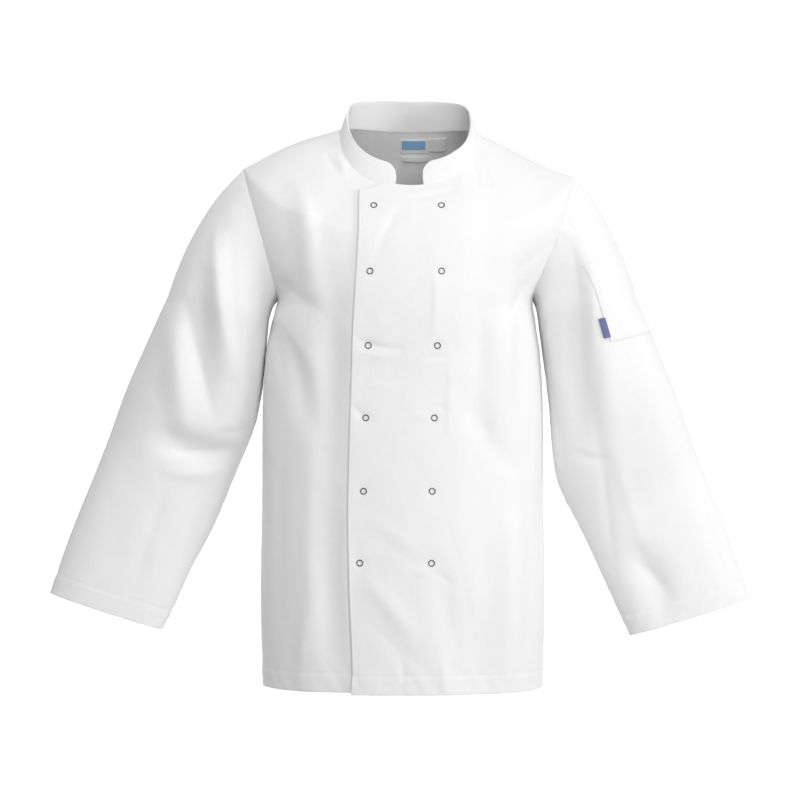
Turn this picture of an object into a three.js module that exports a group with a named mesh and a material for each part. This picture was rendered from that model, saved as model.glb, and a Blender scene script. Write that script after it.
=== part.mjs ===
// Double-breasted chef jacket with a stand collar, long sleeves, a pen pocket on the wearer's left sleeve and
// twelve ring press studs. It is filled out and hollow, as if worn, and fastened left over right.
// Millimetres. +X is the wearer's left, -Y is the front, +Z is up. The origin lies between the two points
// where the collar meets the shoulder seams. Every cloth piece is a closed wall, made from a grid of points on
// its middle surface.
import * as THREE from "three";

// Driving dimensions
const CLOTH = 1.6; // wall of the body and sleeves
const HEM_EXTRA = 0.8; // how much thicker the wall is where a hem is turned up
const COLLAR_CLOTH = 2.4; // two plies and an interlining
const SEAM_GAP = 0.3; // clearance between two pieces sewn together
const UNDERARM_GAP = 1.9; // what a sleeve's edge is drawn in at the underarm, where it turns sharply
const COLLAR_GAP = 0.6; // what the collar's lower edge is drawn in
const NECK_HALF_WIDTH = 95; // origin to a shoulder seam's inner end
const SHOULDER_HALF_WIDTH = 228; // origin to a shoulder seam's outer end
const SHOULDER_DROP = 52; // height lost along a shoulder seam
const UNDERARM_DROP = 228; // origin down to the underarm
const BODY_DROP = 756; // origin down to the hem
const COLLAR_END = 19; // from centre front to a collar end, along the neckline
const COLLAR_LEAN = 0.34; // inward lean of the collar for each unit of height
const FULLNESS = 0.64; // squareness of the cross-sections: 0.55 is an ellipse, 1 a box
const UNDERLAP = 66; // how far the under front reaches past centre front
const LAYER_RISE = 4.4; // over front's middle surface above the under front's
const LEAN = { shift: -9, from: -110, to: -300 }; // sideways drift of the body between two heights
const LAP_CORNER = { drop: 0.3, start: 25 }; // how the top of a free front edge falls away, in rows' places
const COME_DOWN = { start: 2, end: 48, endAtNeck: 24 }; // where the over front comes down past the under one

// The wearer's right shoulder lies this much higher, and the left one lower: most at middle, from the origin
// outwards, and only above the height bottom.
const SLOUCH = { height: 9.5, middle: 176, reach: 74, bottom: -170, top: -50 };
const HEM_DIP = { over: 3, under: 0.4, start: 168, end: 190, height: 0.25 }; // fronts' hems below the back's
const PATCH_CLOTH = 1.2; // pocket, labels and tapes
const STUD = { radius: 5, rim: 1.6, height: 1.2, bevel: 0.35, lift: 0.4 }; // a ring, lifted off the cloth

// Grid counts
const SIDE_ROWS = 16; // hem to underarm
const ARMHOLE_ROWS = 10; // underarm to shoulder point
const SHOULDER_ROWS = 4; // shoulder point to neck
const MAIN_COLUMNS = 11; // collar end to side seam, armhole or shoulder seam
const LAP_COLUMNS = 4; // free front edge to collar end
const CAP_ROWS = 6; // armhole to the sleeve's full section
const SLEEVE_ROWS = 16; // full section to cuff
const COLLAR_ROWS = 3;
const COLUMN_CROWDING = 1.35; // above 1, the main columns crowd towards the collar end
const STUD_SIDES = 16;

// A row's place on the body is a number from 0 to 3: 0 is the hem, UNDERARM, SHOULDER and NECK are as named.
const UNDERARM = 1;
const SHOULDER = 2;
const NECK = 3;

// Side seam, from the hem up
const SIDE_SEAM = [
  { z: -BODY_DROP, x: 192, y: 2 },
  { z: -640, x: 195, y: 2 },
  { z: -500, x: 192, y: 2 },
  { z: -360, x: 190, y: 2 },
  { z: -UNDERARM_DROP, x: 175, y: 2 },
];

const shoulderPoint = { x: SHOULDER_HALF_WIDTH, y: -12, z: -SHOULDER_DROP };
const underarmPoint = SIDE_SEAM[SIDE_SEAM.length - 1];
const neckPoint = { x: NECK_HALF_WIDTH, y: -8, z: 0 };
const SHOULDER_SEAM = [shoulderPoint, { x: 163, y: -13, z: -26 }, neckPoint];

// Front and back of the body. armhole runs from the underarm up, centreLine gives the depth at centre front
// or back for each height, rows says at which height a row meets the centre line, and arrival is the direction
// in which it meets the side seam, armhole or shoulder seam.
const FRONT = {
  armhole: [
    underarmPoint,
    { x: 177, y: -31, z: -213 },
    { x: 188, y: -52, z: -180 },
    { x: 203, y: -57, z: -136 },
    { x: 218, y: -42, z: -90 },
    shoulderPoint,
  ],
  centreLine: [
    { z: -BODY_DROP, y: -118 },
    { z: -600, y: -121 },
    { z: -450, y: -117 },
    { z: -330, y: -117 },
    { z: -230, y: -123 },
    { z: -160, y: -114 },
    { z: -110, y: -93 },
    { z: -76, y: -70 },
  ],
  rows: [
    { place: 0, z: -BODY_DROP },
    { place: UNDERARM, z: -240 },
    { place: SHOULDER, z: -132 },
    { place: NECK, z: -76 },
  ],
  arrival: [
    { place: 0, x: 0, y: 1, z: 0 },
    { place: UNDERARM, x: 0, y: 1, z: 0 },
    { place: 1.25, x: 0.35, y: 0.93, z: 0.05 },
    { place: 1.5, x: 0.6, y: 0.79, z: 0.1 },
    { place: 1.75, x: 0.58, y: 0.76, z: 0.28 },
    { place: SHOULDER, x: 0.25, y: 0.82, z: 0.5 },
    { place: NECK, x: 0, y: 0.7, z: 0.71 },
  ],
};
const BACK = {
  armhole: [
    underarmPoint,
    { x: 182, y: 36, z: -211 },
    { x: 196, y: 56, z: -174 },
    { x: 210, y: 58, z: -128 },
    { x: 222, y: 34, z: -80 },
    shoulderPoint,
  ],
  centreLine: [
    { z: -BODY_DROP, y: 118 },
    { z: -600, y: 117 },
    { z: -450, y: 106 },
    { z: -330, y: 104 },
    { z: -230, y: 112 },
    { z: -150, y: 114 },
    { z: -80, y: 103 },
    { z: -30, y: 82 },
    { z: 12, y: 60 },
  ],
  rows: [
    { place: 0, z: -BODY_DROP },
    { place: UNDERARM, z: -232 },
    { place: SHOULDER, z: -62 },
    { place: NECK, z: 12 },
  ],
  arrival: [
    { place: 0, x: 0, y: -1, z: 0 },
    { place: UNDERARM, x: 0, y: -1, z: 0 },
    { place: 1.25, x: 0.35, y: -0.93, z: 0 },
    { place: 1.5, x: 0.5, y: -0.86, z: 0 },
    { place: 1.75, x: 0.3, y: -0.93, z: -0.2 },
    { place: SHOULDER, x: 0.1, y: -0.97, z: -0.1 },
    { place: 2.5, x: 0, y: -0.93, z: -0.36 },
    { place: NECK, x: 0, y: -0.85, z: -0.5 },
  ],
};

// How far the over front reaches past centre front, at each height
const OVERLAP = [
  { z: -752, reach: 69 },
  { z: -722, reach: 67 },
  { z: -620, reach: 71 },
  { z: -510, reach: 73 },
  { z: -416, reach: 71 },
  { z: -268, reach: 67 },
  { z: -76, reach: 69 },
];

// Press stud rows: the height, and the distance of each column from centre front
const STUD_ROWS = [
  { z: -103, wearersRight: -48, wearersLeft: 43 },
  { z: -192, wearersRight: -49, wearersLeft: 46 },
  { z: -291, wearersRight: -46, wearersLeft: 46 },
  { z: -388, wearersRight: -49, wearersLeft: 42 },
  { z: -486, wearersRight: -52, wearersLeft: 39 },
  { z: -582, wearersRight: -57, wearersLeft: 38 },
];

// Sleeve cross-sections from the upper arm to the cuff. along is the share of that length, tilt is the
// section's angle from level in degrees.
const SLEEVES = {
  left: {
    side: 1,
    sections: [
      { along: 0, x: 243, y: -4, z: -236, tilt: 13, halfWidth: 68, halfDepth: 74 },
      { along: 0.3, x: 277, y: -8, z: -363, tilt: 14, halfWidth: 86, halfDepth: 58 },
      { along: 0.48, x: 296, y: -8, z: -446, tilt: 18, halfWidth: 96, halfDepth: 46 },
      { along: 0.62, x: 320, y: -5, z: -501, tilt: 21, halfWidth: 94, halfDepth: 40 },
      { along: 0.75, x: 343, y: -12, z: -556, tilt: 21, halfWidth: 91, halfDepth: 36 },
      { along: 0.88, x: 365, y: -19, z: -611, tilt: 19, halfWidth: 88, halfDepth: 33 },
      { along: 1, x: 384, y: -25, z: -661, tilt: 17, halfWidth: 85, halfDepth: 30 },
    ],
  },
  right: {
    side: -1,
    sections: [
      { along: 0, x: -262, y: 0, z: -234, tilt: 16, halfWidth: 70, halfDepth: 74 },
      { along: 0.3, x: -299, y: 3, z: -363, tilt: 18, halfWidth: 89, halfDepth: 58 },
      { along: 0.48, x: -329, y: 1, z: -446, tilt: 20, halfWidth: 90, halfDepth: 46 },
      { along: 0.62, x: -351, y: -5, z: -501, tilt: 22, halfWidth: 89, halfDepth: 40 },
      { along: 0.75, x: -375, y: -12, z: -556, tilt: 22, halfWidth: 86, halfDepth: 36 },
      { along: 0.88, x: -398, y: -19, z: -611, tilt: 20, halfWidth: 83, halfDepth: 33 },
      { along: 1, x: -415, y: -25, z: -653, tilt: 18, halfWidth: 80, halfDepth: 30 },
    ],
  },
};

// Collar height, by the distance from a collar end along the neckline
const COLLAR_CORNER = 15; // radius of its rounded front corners
const COLLAR_HEIGHT = [
  { from: 0, height: 33 },
  { from: 60, height: 31 },
  { from: 120, height: 31 },
  { from: 170, height: 37 },
  { from: 230, height: 43 },
];

// Patch pocket on the wearer's left sleeve: it covers these rows and columns of the sleeve's points. Column 0
// is the underarm, 10 the outermost line and 15 the front. It runs past its front column by overlap, and lift
// is what it has above a seam's clearance. The tab is caught in its front edge.
const POCKET = { topRow: 4, bottomRow: 8, backColumn: 10, frontColumn: 14, overlap: 0.5, lift: 0.45 };
const TAB = { topRow: 6.75, bottomRow: 7.75, width: 0.3, fromPocket: 0.04, lift: 0.8 };

// Tapes on the inside of the back, below the neck seam: width towards the wearer's left from left, and z down
// from top. lift is the clearance to the cloth.
const TAPES = [
  { name: "neck_label", left: -9, width: 34, top: 1, height: 15, lift: 0.5 },
  { name: "care_label", left: 28, width: 24, top: 4, height: 18, lift: 0.5 },
  { name: "hanger_loop", left: -11, width: 38, top: -20, height: 8, lift: 1.2 },
];

// Largest folds. Each runs from, by way of via, to a place seen from the front or back, as x and z. depth is
// negative for a trough, and reach is the distance to where it has nearly died away at each side.
const FOLDS = [
  { on: "front", from: [-84, -190], via: [-92, -330], to: [-88, -470], depth: -10, reach: 20 },
  { on: "front", from: [-86, -420], via: [-94, -560], to: [-90, -740], depth: -8, reach: 18 },
  { on: "front", from: [-176, -250], via: [-150, -330], to: [-130, -420], depth: -7, reach: 26 },
  { on: "front", from: [-146, -60], via: [-140, -160], to: [-118, -260], depth: 5, reach: 26 },
  { on: "front", from: [-124, -560], via: [-128, -660], to: [-132, -790], depth: 8, reach: 26 },
  { on: "front", from: [-64, -590], via: [-30, -630], to: [12, -700], depth: 6, reach: 20 },
  { on: "front", from: [34, -560], via: [52, -650], to: [84, -790], depth: -8, reach: 26 },
  { on: "front", from: [120, -150], via: [124, -330], to: [112, -460], depth: 6, reach: 30 },
  { on: "front", from: [138, -500], via: [136, -620], to: [126, -790], depth: 8, reach: 30 },
  { on: "front", from: [60, -330], via: [100, -420], to: [150, -470], depth: -5, reach: 24 },
  { on: "back", from: [-150, -200], via: [-120, -300], to: [-130, -460], depth: -7, reach: 28 },
  { on: "back", from: [-112, -400], via: [-128, -560], to: [-112, -790], depth: -9, reach: 30 },
  { on: "back", from: [-40, -420], via: [-56, -560], to: [-50, -790], depth: 8, reach: 30 },
  { on: "back", from: [3, -10], via: [2, -60], to: [6, -150], depth: -4, reach: 16 },
  { on: "back", from: [140, -190], via: [112, -300], to: [100, -430], depth: -7, reach: 28 },
  { on: "back", from: [86, -380], via: [100, -560], to: [94, -790], depth: -9, reach: 32 },
  { on: "sleeve_right_front", from: [-252, -130], via: [-264, -230], to: [-246, -340], depth: 8, reach: 28 },
  { on: "sleeve_right_front", from: [-276, -180], via: [-300, -270], to: [-262, -400], depth: -11, reach: 32 },
  { on: "sleeve_right_front", from: [-322, -230], via: [-318, -320], to: [-310, -420], depth: 7, reach: 30 },
  { on: "sleeve_right_front", from: [-350, -400], via: [-290, -452], to: [-236, -424], depth: -11, reach: 30 },
  { on: "sleeve_left_front", from: [212, -140], via: [214, -280], to: [240, -440], depth: -11, reach: 34 },
  { on: "sleeve_left_front", from: [258, -160], via: [258, -300], to: [284, -470], depth: 7, reach: 32 },
  { on: "sleeve_left_front", from: [300, -560], via: [330, -590], to: [356, -680], depth: -8, reach: 32 },
  { on: "sleeve_right_back", from: [-250, -150], via: [-300, -300], to: [-300, -420], depth: -10, reach: 34 },
  { on: "sleeve_right_back", from: [-372, -420], via: [-320, -456], to: [-250, -430], depth: -10, reach: 30 },
  { on: "sleeve_left_back", from: [250, -150], via: [290, -300], to: [280, -430], depth: -10, reach: 34 },
  { on: "sleeve_left_back", from: [352, -420], via: [300, -458], to: [236, -440], depth: -10, reach: 30 },
];

const vector = ({ x, y, z }) => new THREE.Vector3(x, y, z);
const { lerp, smoothstep, degToRad } = THREE.MathUtils;

// The value of a table's column where its key column has the given value, on a smooth line through its rows.
function lookUp(rows, key, column, value) {
  const ends = [rows[0][key], rows[rows.length - 1][key]];
  const at = THREE.MathUtils.clamp(value, Math.min(...ends), Math.max(...ends));
  let i = 0;
  while (i < rows.length - 2 && (at - rows[i + 1][key]) * (ends[1] - ends[0]) > 0) i += 1;
  const slope = (a, b) => (rows[b][column] - rows[a][column]) / (rows[b][key] - rows[a][key]);
  const span = rows[i + 1][key] - rows[i][key];
  const share = (at - rows[i][key]) / span;
  const startSlope = slope(Math.max(i - 1, 0), i + 1) * span;
  const endSlope = slope(i, Math.min(i + 2, rows.length - 1)) * span;
  const [square, cube] = [share ** 2, share ** 3];
  return (
    (2 * cube - 3 * square + 1) * rows[i][column] +
    (cube - 2 * square + share) * startSlope +
    (3 * square - 2 * cube) * rows[i + 1][column] +
    (cube - square) * endSlope
  );
}

const range = (count) => Array.from({ length: count + 1 }, (_, i) => i / count);

const leanAt = (z) => LEAN.shift * (1 - smoothstep(z, LEAN.to, LEAN.from));

// The worn body leans a little to one side below the chest, and its shoulders aren't level.
function settle(point) {
  const along = (Math.abs(point.x) - SLOUCH.middle) / SLOUCH.reach;
  const share = Math.exp(-(along ** 2)) * smoothstep(point.z, SLOUCH.bottom, SLOUCH.top);
  return new THREE.Vector3(
    point.x + leanAt(point.z),
    point.y,
    point.z - SLOUCH.height * Math.sign(point.x) * share,
  );
}

const curveThrough = (rows) => new THREE.CatmullRomCurve3(rows.map(vector));
const armholeCurves = new Map([FRONT, BACK].map((half) => [half, curveThrough(half.armhole)]));
const shoulderCurve = curveThrough(SHOULDER_SEAM);

// Where a row of the body's front or back meets the side seam, the armhole or the shoulder seam.
function outerPoint(half, place) {
  if (place > SHOULDER) return shoulderCurve.getPointAt(place - SHOULDER);
  if (place > UNDERARM) return armholeCurves.get(half).getPointAt(place - UNDERARM);
  const z = lerp(-BODY_DROP, -UNDERARM_DROP, place);
  return new THREE.Vector3(lookUp(SIDE_SEAM, "z", "x", z), lookUp(SIDE_SEAM, "z", "y", z), z);
}

// One row of the body, from the centre line outwards on the wearer's left: it leaves level and meets the
// outer point in the arrival direction. Its two handles point at the place where both directions would meet.
function bodyRow(half, place) {
  const z = lookUp(half.rows, "place", "z", place);
  const start = new THREE.Vector3(0, lookUp(half.centreLine, "z", "y", z), z);
  const end = outerPoint(half, place);
  const arrival = new THREE.Vector3(
    lookUp(half.arrival, "place", "x", place),
    lookUp(half.arrival, "place", "y", place),
    lookUp(half.arrival, "place", "z", place),
  ).normalize();
  const across = end.clone().sub(start);
  const [dx, da] = [across.x, across.dot(arrival)];
  const out = (dx - arrival.x * da) / (1 - arrival.x ** 2);
  const back = (da - arrival.x * dx) / (1 - arrival.x ** 2);
  return new THREE.CubicBezierCurve3(
    start,
    start.clone().add(new THREE.Vector3(out * FULLNESS, 0, 0)),
    end.clone().addScaledVector(arrival, -back * FULLNESS),
    end,
  );
}

// The point of a row at a signed distance from the centre line, positive towards the wearer's left.
function alongRow(row, distance) {
  const point = row.getPointAt(Math.min(Math.abs(distance) / row.getLength(), 1));
  if (distance < 0) point.x *= -1;
  return point;
}

const bodyPlaces = [
  ...range(SIDE_ROWS),
  ...range(ARMHOLE_ROWS).slice(1).map((share) => UNDERARM + share),
  ...range(SHOULDER_ROWS).slice(1).map((share) => SHOULDER + share),
];

// A panel is a grid of points on a piece's middle surface, points[row][column], whose faces look outwards.
const panel = (name, points, closed = false) => ({ name, points, closed });

// A front, from its free edge past centre front to the side. side is 1 for the wearer's left.
function frontPanel(name, side, reachAt, hemDip) {
  const points = bodyPlaces.map((place) => {
    const row = bodyRow(FRONT, place);
    const length = row.getLength();
    const reach = reachAt(lookUp(FRONT.rows, "place", "z", place));
    const lap = range(LAP_COLUMNS).slice(0, -1).map((share) => lerp(-reach, COLLAR_END, share));
    const main = range(MAIN_COLUMNS).map((share) => lerp(COLLAR_END, length, share ** COLUMN_CROWDING));
    return [...lap, ...main].map((distance) => {
      const lapShare = smoothstep(-distance, LAP_CORNER.start, reach) * smoothstep(place, SHOULDER, NECK);
      const drop = LAP_CORNER.drop * lapShare;
      const point = settle(alongRow(drop ? bodyRow(FRONT, place - drop) : row, side * distance));
      const dip = 1 - smoothstep(Math.abs(point.x), HEM_DIP.start, HEM_DIP.end);
      point.z -= hemDip * dip * (1 - smoothstep(place, 0, HEM_DIP.height));
      return point;
    });
  });
  return panel(name, side > 0 ? points : points.map((row) => row.reverse()));
}

function backPanel() {
  const points = bodyPlaces.map((place) => {
    const row = bodyRow(BACK, place);
    const length = row.getLength();
    return range(2 * MAIN_COLUMNS).map((share) => settle(alongRow(row, lerp(length, -length, share))));
  });
  return panel("back", points);
}

const FOLD_STEPS = 24; // points along a fold's line
const FOLD_EDGE = 1.6; // where a fold's bell curve counts as having died away

// The distance of a point from a fold's line seen from the front, and how far along the fold it is.
function fromFold(fold, point) {
  const [a, b, c] = [fold.from, fold.via, fold.to].map(([x, z]) => new THREE.Vector2(x, z));
  const line = new THREE.QuadraticBezierCurve(a, b, c).getPoints(FOLD_STEPS);
  const here = new THREE.Vector2(point.x, point.z);
  const distances = line.map((p) => p.distanceTo(here));
  const nearest = distances.indexOf(Math.min(...distances));
  return { distance: distances[nearest], along: nearest / (line.length - 1) };
}

// The height of all folds on a piece at a point, above its plain surface.
function foldHeight(name, point) {
  return FOLDS.filter((fold) => fold.on === name).reduce((sum, fold) => {
    const { distance, along } = fromFold(fold, point);
    const across = (FOLD_EDGE * distance) / fold.reach;
    return sum + fold.depth * Math.sin(Math.PI * along) * Math.exp(-(across ** 2));
  }, 0);
}

// Normals of a panel's points, each the mean over the faces around it.
function findNormals({ points, closed }) {
  const normals = points.map((row) => row.map(() => new THREE.Vector3()));
  const columns = points[0].length;
  for (let r = 0; r < points.length - 1; r += 1) {
    for (let c = 0; c < (closed ? columns : columns - 1); c += 1) {
      const d = (c + 1) % columns;
      const rising = points[r + 1][d].clone().sub(points[r][c]);
      const falling = points[r + 1][c].clone().sub(points[r][d]);
      const face = rising.cross(falling);
      [normals[r][c], normals[r][d], normals[r + 1][c], normals[r + 1][d]].forEach((n) => n.add(face));
    }
  }
  return normals;
}

const pointKey = (point) => point.toArray().map((v) => v.toFixed(2)).join();

// Gives each panel its normals. Where edges of several panels share a point they get one common normal, so
// that their walls meet face to face.
function shareNormals(panels) {
  const sums = new Map();
  const found = panels.map(findNormals);
  panels.forEach(({ points }, i) => points.forEach((row, r) => row.forEach((point, c) => {
    const key = pointKey(point);
    if (!sums.has(key)) sums.set(key, new THREE.Vector3());
    sums.get(key).add(found[i][r][c].clone().normalize());
  })));
  panels.forEach((item) => {
    const shared = (point) => sums.get(pointKey(point)).clone().normalize();
    item.normals = item.points.map((row) => row.map(shared));
  });
}

// Moves a panel's points along their normals, apart from those on the rows or columns it is sewn along.
function raise(item, heightAt, sewn) {
  item.points = item.points.map((row, r) => row.map((point, c) => {
    const height = sewn(r, c, item) ? 0 : heightAt(point, r, c);
    return point.clone().addScaledVector(item.normals[r][c], height);
  }));
}

const topRow = ({ points }) => points[points.length - 1];

// Body panels
const reachOver = (z) => lookUp(OVERLAP, "z", "reach", z);
const frontLeft = frontPanel("front_left", 1, reachOver, HEM_DIP.over);
const frontRight = frontPanel("front_right", -1, () => UNDERLAP, HEM_DIP.under);
const back = backPanel();
shareNormals([frontLeft, frontRight, back]);

// The over front lies on the under front as far as that reaches, and comes down to the plain surface past it.
function overFrontHeight(point, r) {
  const pastUnderlap = point.x - leanAt(point.z) - UNDERLAP;
  const end = r < bodyPlaces.length - 1 ? COME_DOWN.end : COME_DOWN.endAtNeck;
  return LAYER_RISE * (1 - smoothstep(pastUnderlap, COME_DOWN.start, end)) + foldHeight("front", point);
}
raise(frontLeft, overFrontHeight, (r, c, item) => c === item.points[0].length - 1);
raise(frontRight, (point) => foldHeight("front", point), (r, c) => c === 0);
raise(back, (point) => foldHeight("back", point), (r, c, item) => c === 0 || c === item.points[0].length - 1);

// Armhole ring of one side, from the underarm up the front and down the back.
function armholeRing(side) {
  const rows = range(ARMHOLE_ROWS).map((_, i) => SIDE_ROWS + i);
  const front = side > 0 ? frontLeft : frontRight;
  const edge = (item, r, last) => item.points[r][last ? item.points[0].length - 1 : 0];
  return [
    ...rows.map((r) => edge(front, r, side > 0)),
    ...rows.slice(1, -1).reverse().map((r) => edge(back, r, side < 0)),
  ];
}

// Directions of a sleeve cross-section: down the sleeve, and outwards from the body.
function sectionFrame(side, tilt) {
  const angle = degToRad(tilt);
  return {
    down: new THREE.Vector3(side * Math.sin(angle), 0, -Math.cos(angle)),
    out: new THREE.Vector3(side * Math.cos(angle), 0, Math.sin(angle)),
  };
}

const SECTION_POWER = 0.9; // below 1 the sleeve's section is squarer than an ellipse
const rounded = (value) => Math.sign(value) * Math.abs(value) ** SECTION_POWER;

// The point of a sleeve's section at an angle round it: 0 underarm, a quarter turn is the front.
function sectionPoint(sections, side, along, angle) {
  const value = (column) => lookUp(sections, "along", column, along);
  const { out } = sectionFrame(side, value("tilt"));
  return new THREE.Vector3(value("x"), value("y"), value("z"))
    .addScaledVector(out, -value("halfWidth") * rounded(Math.cos(angle)))
    .add(new THREE.Vector3(0, -value("halfDepth") * rounded(Math.sin(angle)), 0));
}

// How a sleeve leaves the armhole, at the underarm and at the shoulder point, as shares out and down.
const CAP_LEAVES = { underarm: { out: 0.65, down: 0.76 }, shoulder: { out: 0.58, down: 0.81 }, bulge: 0.3 };
const CAP_HANDLE = 0.3; // length of the cap's handles for each unit of its height

function sleevePanel(name, { side, sections }) {
  const ring = armholeRing(side);
  const { down, out } = sectionFrame(side, sections[0].tilt);
  const columns = ring.map((seam, i) => {
    const angle = (2 * Math.PI * i) / ring.length;
    const top = (1 - Math.cos(angle)) / 2;
    const full = sectionPoint(sections, side, 0, angle);
    const leave = new THREE.Vector3(0, -CAP_LEAVES.bulge * Math.sin(angle), 0)
      .addScaledVector(out, lerp(CAP_LEAVES.underarm.out, CAP_LEAVES.shoulder.out, top))
      .addScaledVector(down, lerp(CAP_LEAVES.underarm.down, CAP_LEAVES.shoulder.down, top))
      .normalize();
    const handle = seam.distanceTo(full) * CAP_HANDLE;
    const cap = new THREE.CubicBezierCurve3(
      seam,
      seam.clone().addScaledVector(leave, handle),
      full.clone().addScaledVector(down, -handle),
      full,
    );
    return [
      ...range(CAP_ROWS).slice(0, -1).map((share) => cap.getPointAt(share)),
      ...range(SLEEVE_ROWS).map((along) => sectionPoint(sections, side, along, angle)),
    ];
  });
  const points = columns[0].map((_, r) => columns.map((column) => column[r]));
  const turned = ([underarm, ...rest]) => [underarm, ...rest.reverse()];
  const item = panel(name, side > 0 ? points.map(turned) : points, true);
  shareNormals([item]);
  const heightAt = (point) => foldHeight(`${name}_${point.y < 0 ? "front" : "back"}`, point);
  raise(item, heightAt, (r) => r === 0);
  return item;
}
const sleeveLeft = sleevePanel("sleeve_left", SLEEVES.left);
const sleeveRight = sleevePanel("sleeve_right", SLEEVES.right);

// The collar stands on the neckline: the over front's, round the back, and the under front's.
function collarPanel() {
  const neckline = [
    ...topRow(frontLeft).slice(LAP_COLUMNS),
    ...topRow(back).slice(1, -1),
    ...topRow(frontRight).slice(0, MAIN_COLUMNS + 1),
  ];
  const centre = new THREE.Vector3(0, (neckPoint.y + topRow(back)[MAIN_COLUMNS].y) / 4, 0);
  const distances = [0];
  neckline.slice(1).forEach((point, i) => distances.push(distances[i] + point.distanceTo(neckline[i])));
  const length = distances[distances.length - 1];
  const columns = neckline.map((point, i) => {
    const fromEnd = Math.min(distances[i], length - distances[i]);
    const corner = Math.max(COLLAR_CORNER - fromEnd, 0);
    const cut = COLLAR_CORNER - Math.sqrt(COLLAR_CORNER ** 2 - corner ** 2);
    const height = lookUp(COLLAR_HEIGHT, "from", "height", fromEnd) - cut;
    const inward = centre.clone().sub(point).setZ(0).normalize();
    const up = inward.multiplyScalar(COLLAR_LEAN).add(new THREE.Vector3(0, 0, 1)).normalize();
    return range(COLLAR_ROWS).map((share) => point.clone().addScaledVector(up, share * height));
  });
  return panel("collar", columns[0].map((_, r) => columns.map((column) => column[r])));
}
const collar = collarPanel();

const clothPanels = [frontLeft, frontRight, back, sleeveLeft, sleeveRight, collar];
shareNormals(clothPanels);

// The point and normal of a panel between its rows and columns.
function between(item, row, column) {
  const r = Math.min(Math.floor(row), item.points.length - 2);
  const c = Math.min(Math.floor(column), item.points[0].length - 2);
  const blend = (grid) => grid[r][c].clone().lerp(grid[r][c + 1], column - c)
    .lerp(grid[r + 1][c].clone().lerp(grid[r + 1][c + 1], column - c), row - r);
  return { point: blend(item.points), normal: blend(item.normals).normalize() };
}

const lifted = (spots, height) => spots.map((line) => (
  line.map(({ point, normal }) => point.clone().addScaledVector(normal, height))
));

// A layer that lies on a panel, made from the panel's points moved out by height.
function layerOn(item, name, rows, columns, height) {
  const spots = rows.map((row) => columns.map((column) => between(item, row, column)));
  return {
    name,
    points: lifted(spots, height),
    normals: spots.map((line) => line.map(({ normal }) => normal)),
    closed: false,
  };
}

// The row and column of a panel that has the given x and z.
function findSpot(item, x, z) {
  const { points } = item;
  for (let r = 0; r < points.length - 1; r += 1) {
    for (let c = 0; c < points[0].length - 1; c += 1) {
      const [a, b, d] = [points[r][c], points[r][c + 1], points[r + 1][c]];
      let [u, v] = [0.5, 0.5];
      const [bx, bz, dx, dz] = [b.x - a.x, b.z - a.z, d.x - a.x, d.z - a.z];
      for (let step = 0; step < 8; step += 1) {
        const { point } = between({ points, normals: points }, r + THREE.MathUtils.clamp(v, 0, 0.999),
          c + THREE.MathUtils.clamp(u, 0, 0.999));
        const [ex, ez, area] = [x - point.x, z - point.z, bx * dz - bz * dx];
        u = THREE.MathUtils.clamp(u, 0, 1) + (ex * dz - ez * dx) / area;
        v = THREE.MathUtils.clamp(v, 0, 1) + (bx * ez - bz * ex) / area;
      }
      const inside = (value) => value > -0.01 && value < 1.01;
      if (inside(u) && inside(v)) return { row: r + v, column: c + u };
    }
  }
  throw new Error(`no spot at ${x}, ${z} on ${item.name}`);
}

// Pieces that lie on the sleeve and inside the back
const onTop = CLOTH / 2 + SEAM_GAP + PATCH_CLOTH / 2;
const steps = (start, end, count) => range(count).map((share) => lerp(start, end, share));
const pocketRows = steps(POCKET.topRow, POCKET.bottomRow, POCKET.bottomRow - POCKET.topRow);
const pocketFront = POCKET.frontColumn + POCKET.overlap;
const pocketColumns = [
  ...steps(POCKET.backColumn, POCKET.frontColumn, POCKET.frontColumn - POCKET.backColumn),
  pocketFront,
];
const tabStart = pocketFront + TAB.fromPocket;
const tabRows = steps(TAB.topRow, TAB.bottomRow, 2);
const sleevePatches = [
  layerOn(sleeveLeft, "sleeve_pocket", pocketRows, pocketColumns, onTop + POCKET.lift),
  layerOn(sleeveLeft, "pocket_tab", tabRows, steps(tabStart, tabStart + TAB.width, 1), onTop + TAB.lift),
];
const tapes = TAPES.map(({ name, left, width, top, height, lift }) => {
  const spots = steps(top - height, top, 2).map((z) => steps(left, left + width, 4).map((x) => {
    const { row, column } = findSpot(back, x, z);
    return between(back, row, column);
  }));
  const depth = -(CLOTH / 2 + lift + PATCH_CLOTH / 2);
  return {
    name,
    points: lifted(spots, depth),
    normals: spots.map((line) => line.map(({ normal }) => normal.clone().negate())),
    closed: false,
  };
});
const studSpots = STUD_ROWS.flatMap(({ z, wearersRight, wearersLeft }, i) => (
  [["right", wearersRight], ["left", wearersLeft]].map(([side, x]) => {
    const { row, column } = findSpot(frontLeft, x + leanAt(z), z);
    return { name: `stud_${side}_${i + 1}`, ...between(frontLeft, row, column) };
  })
));

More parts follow.
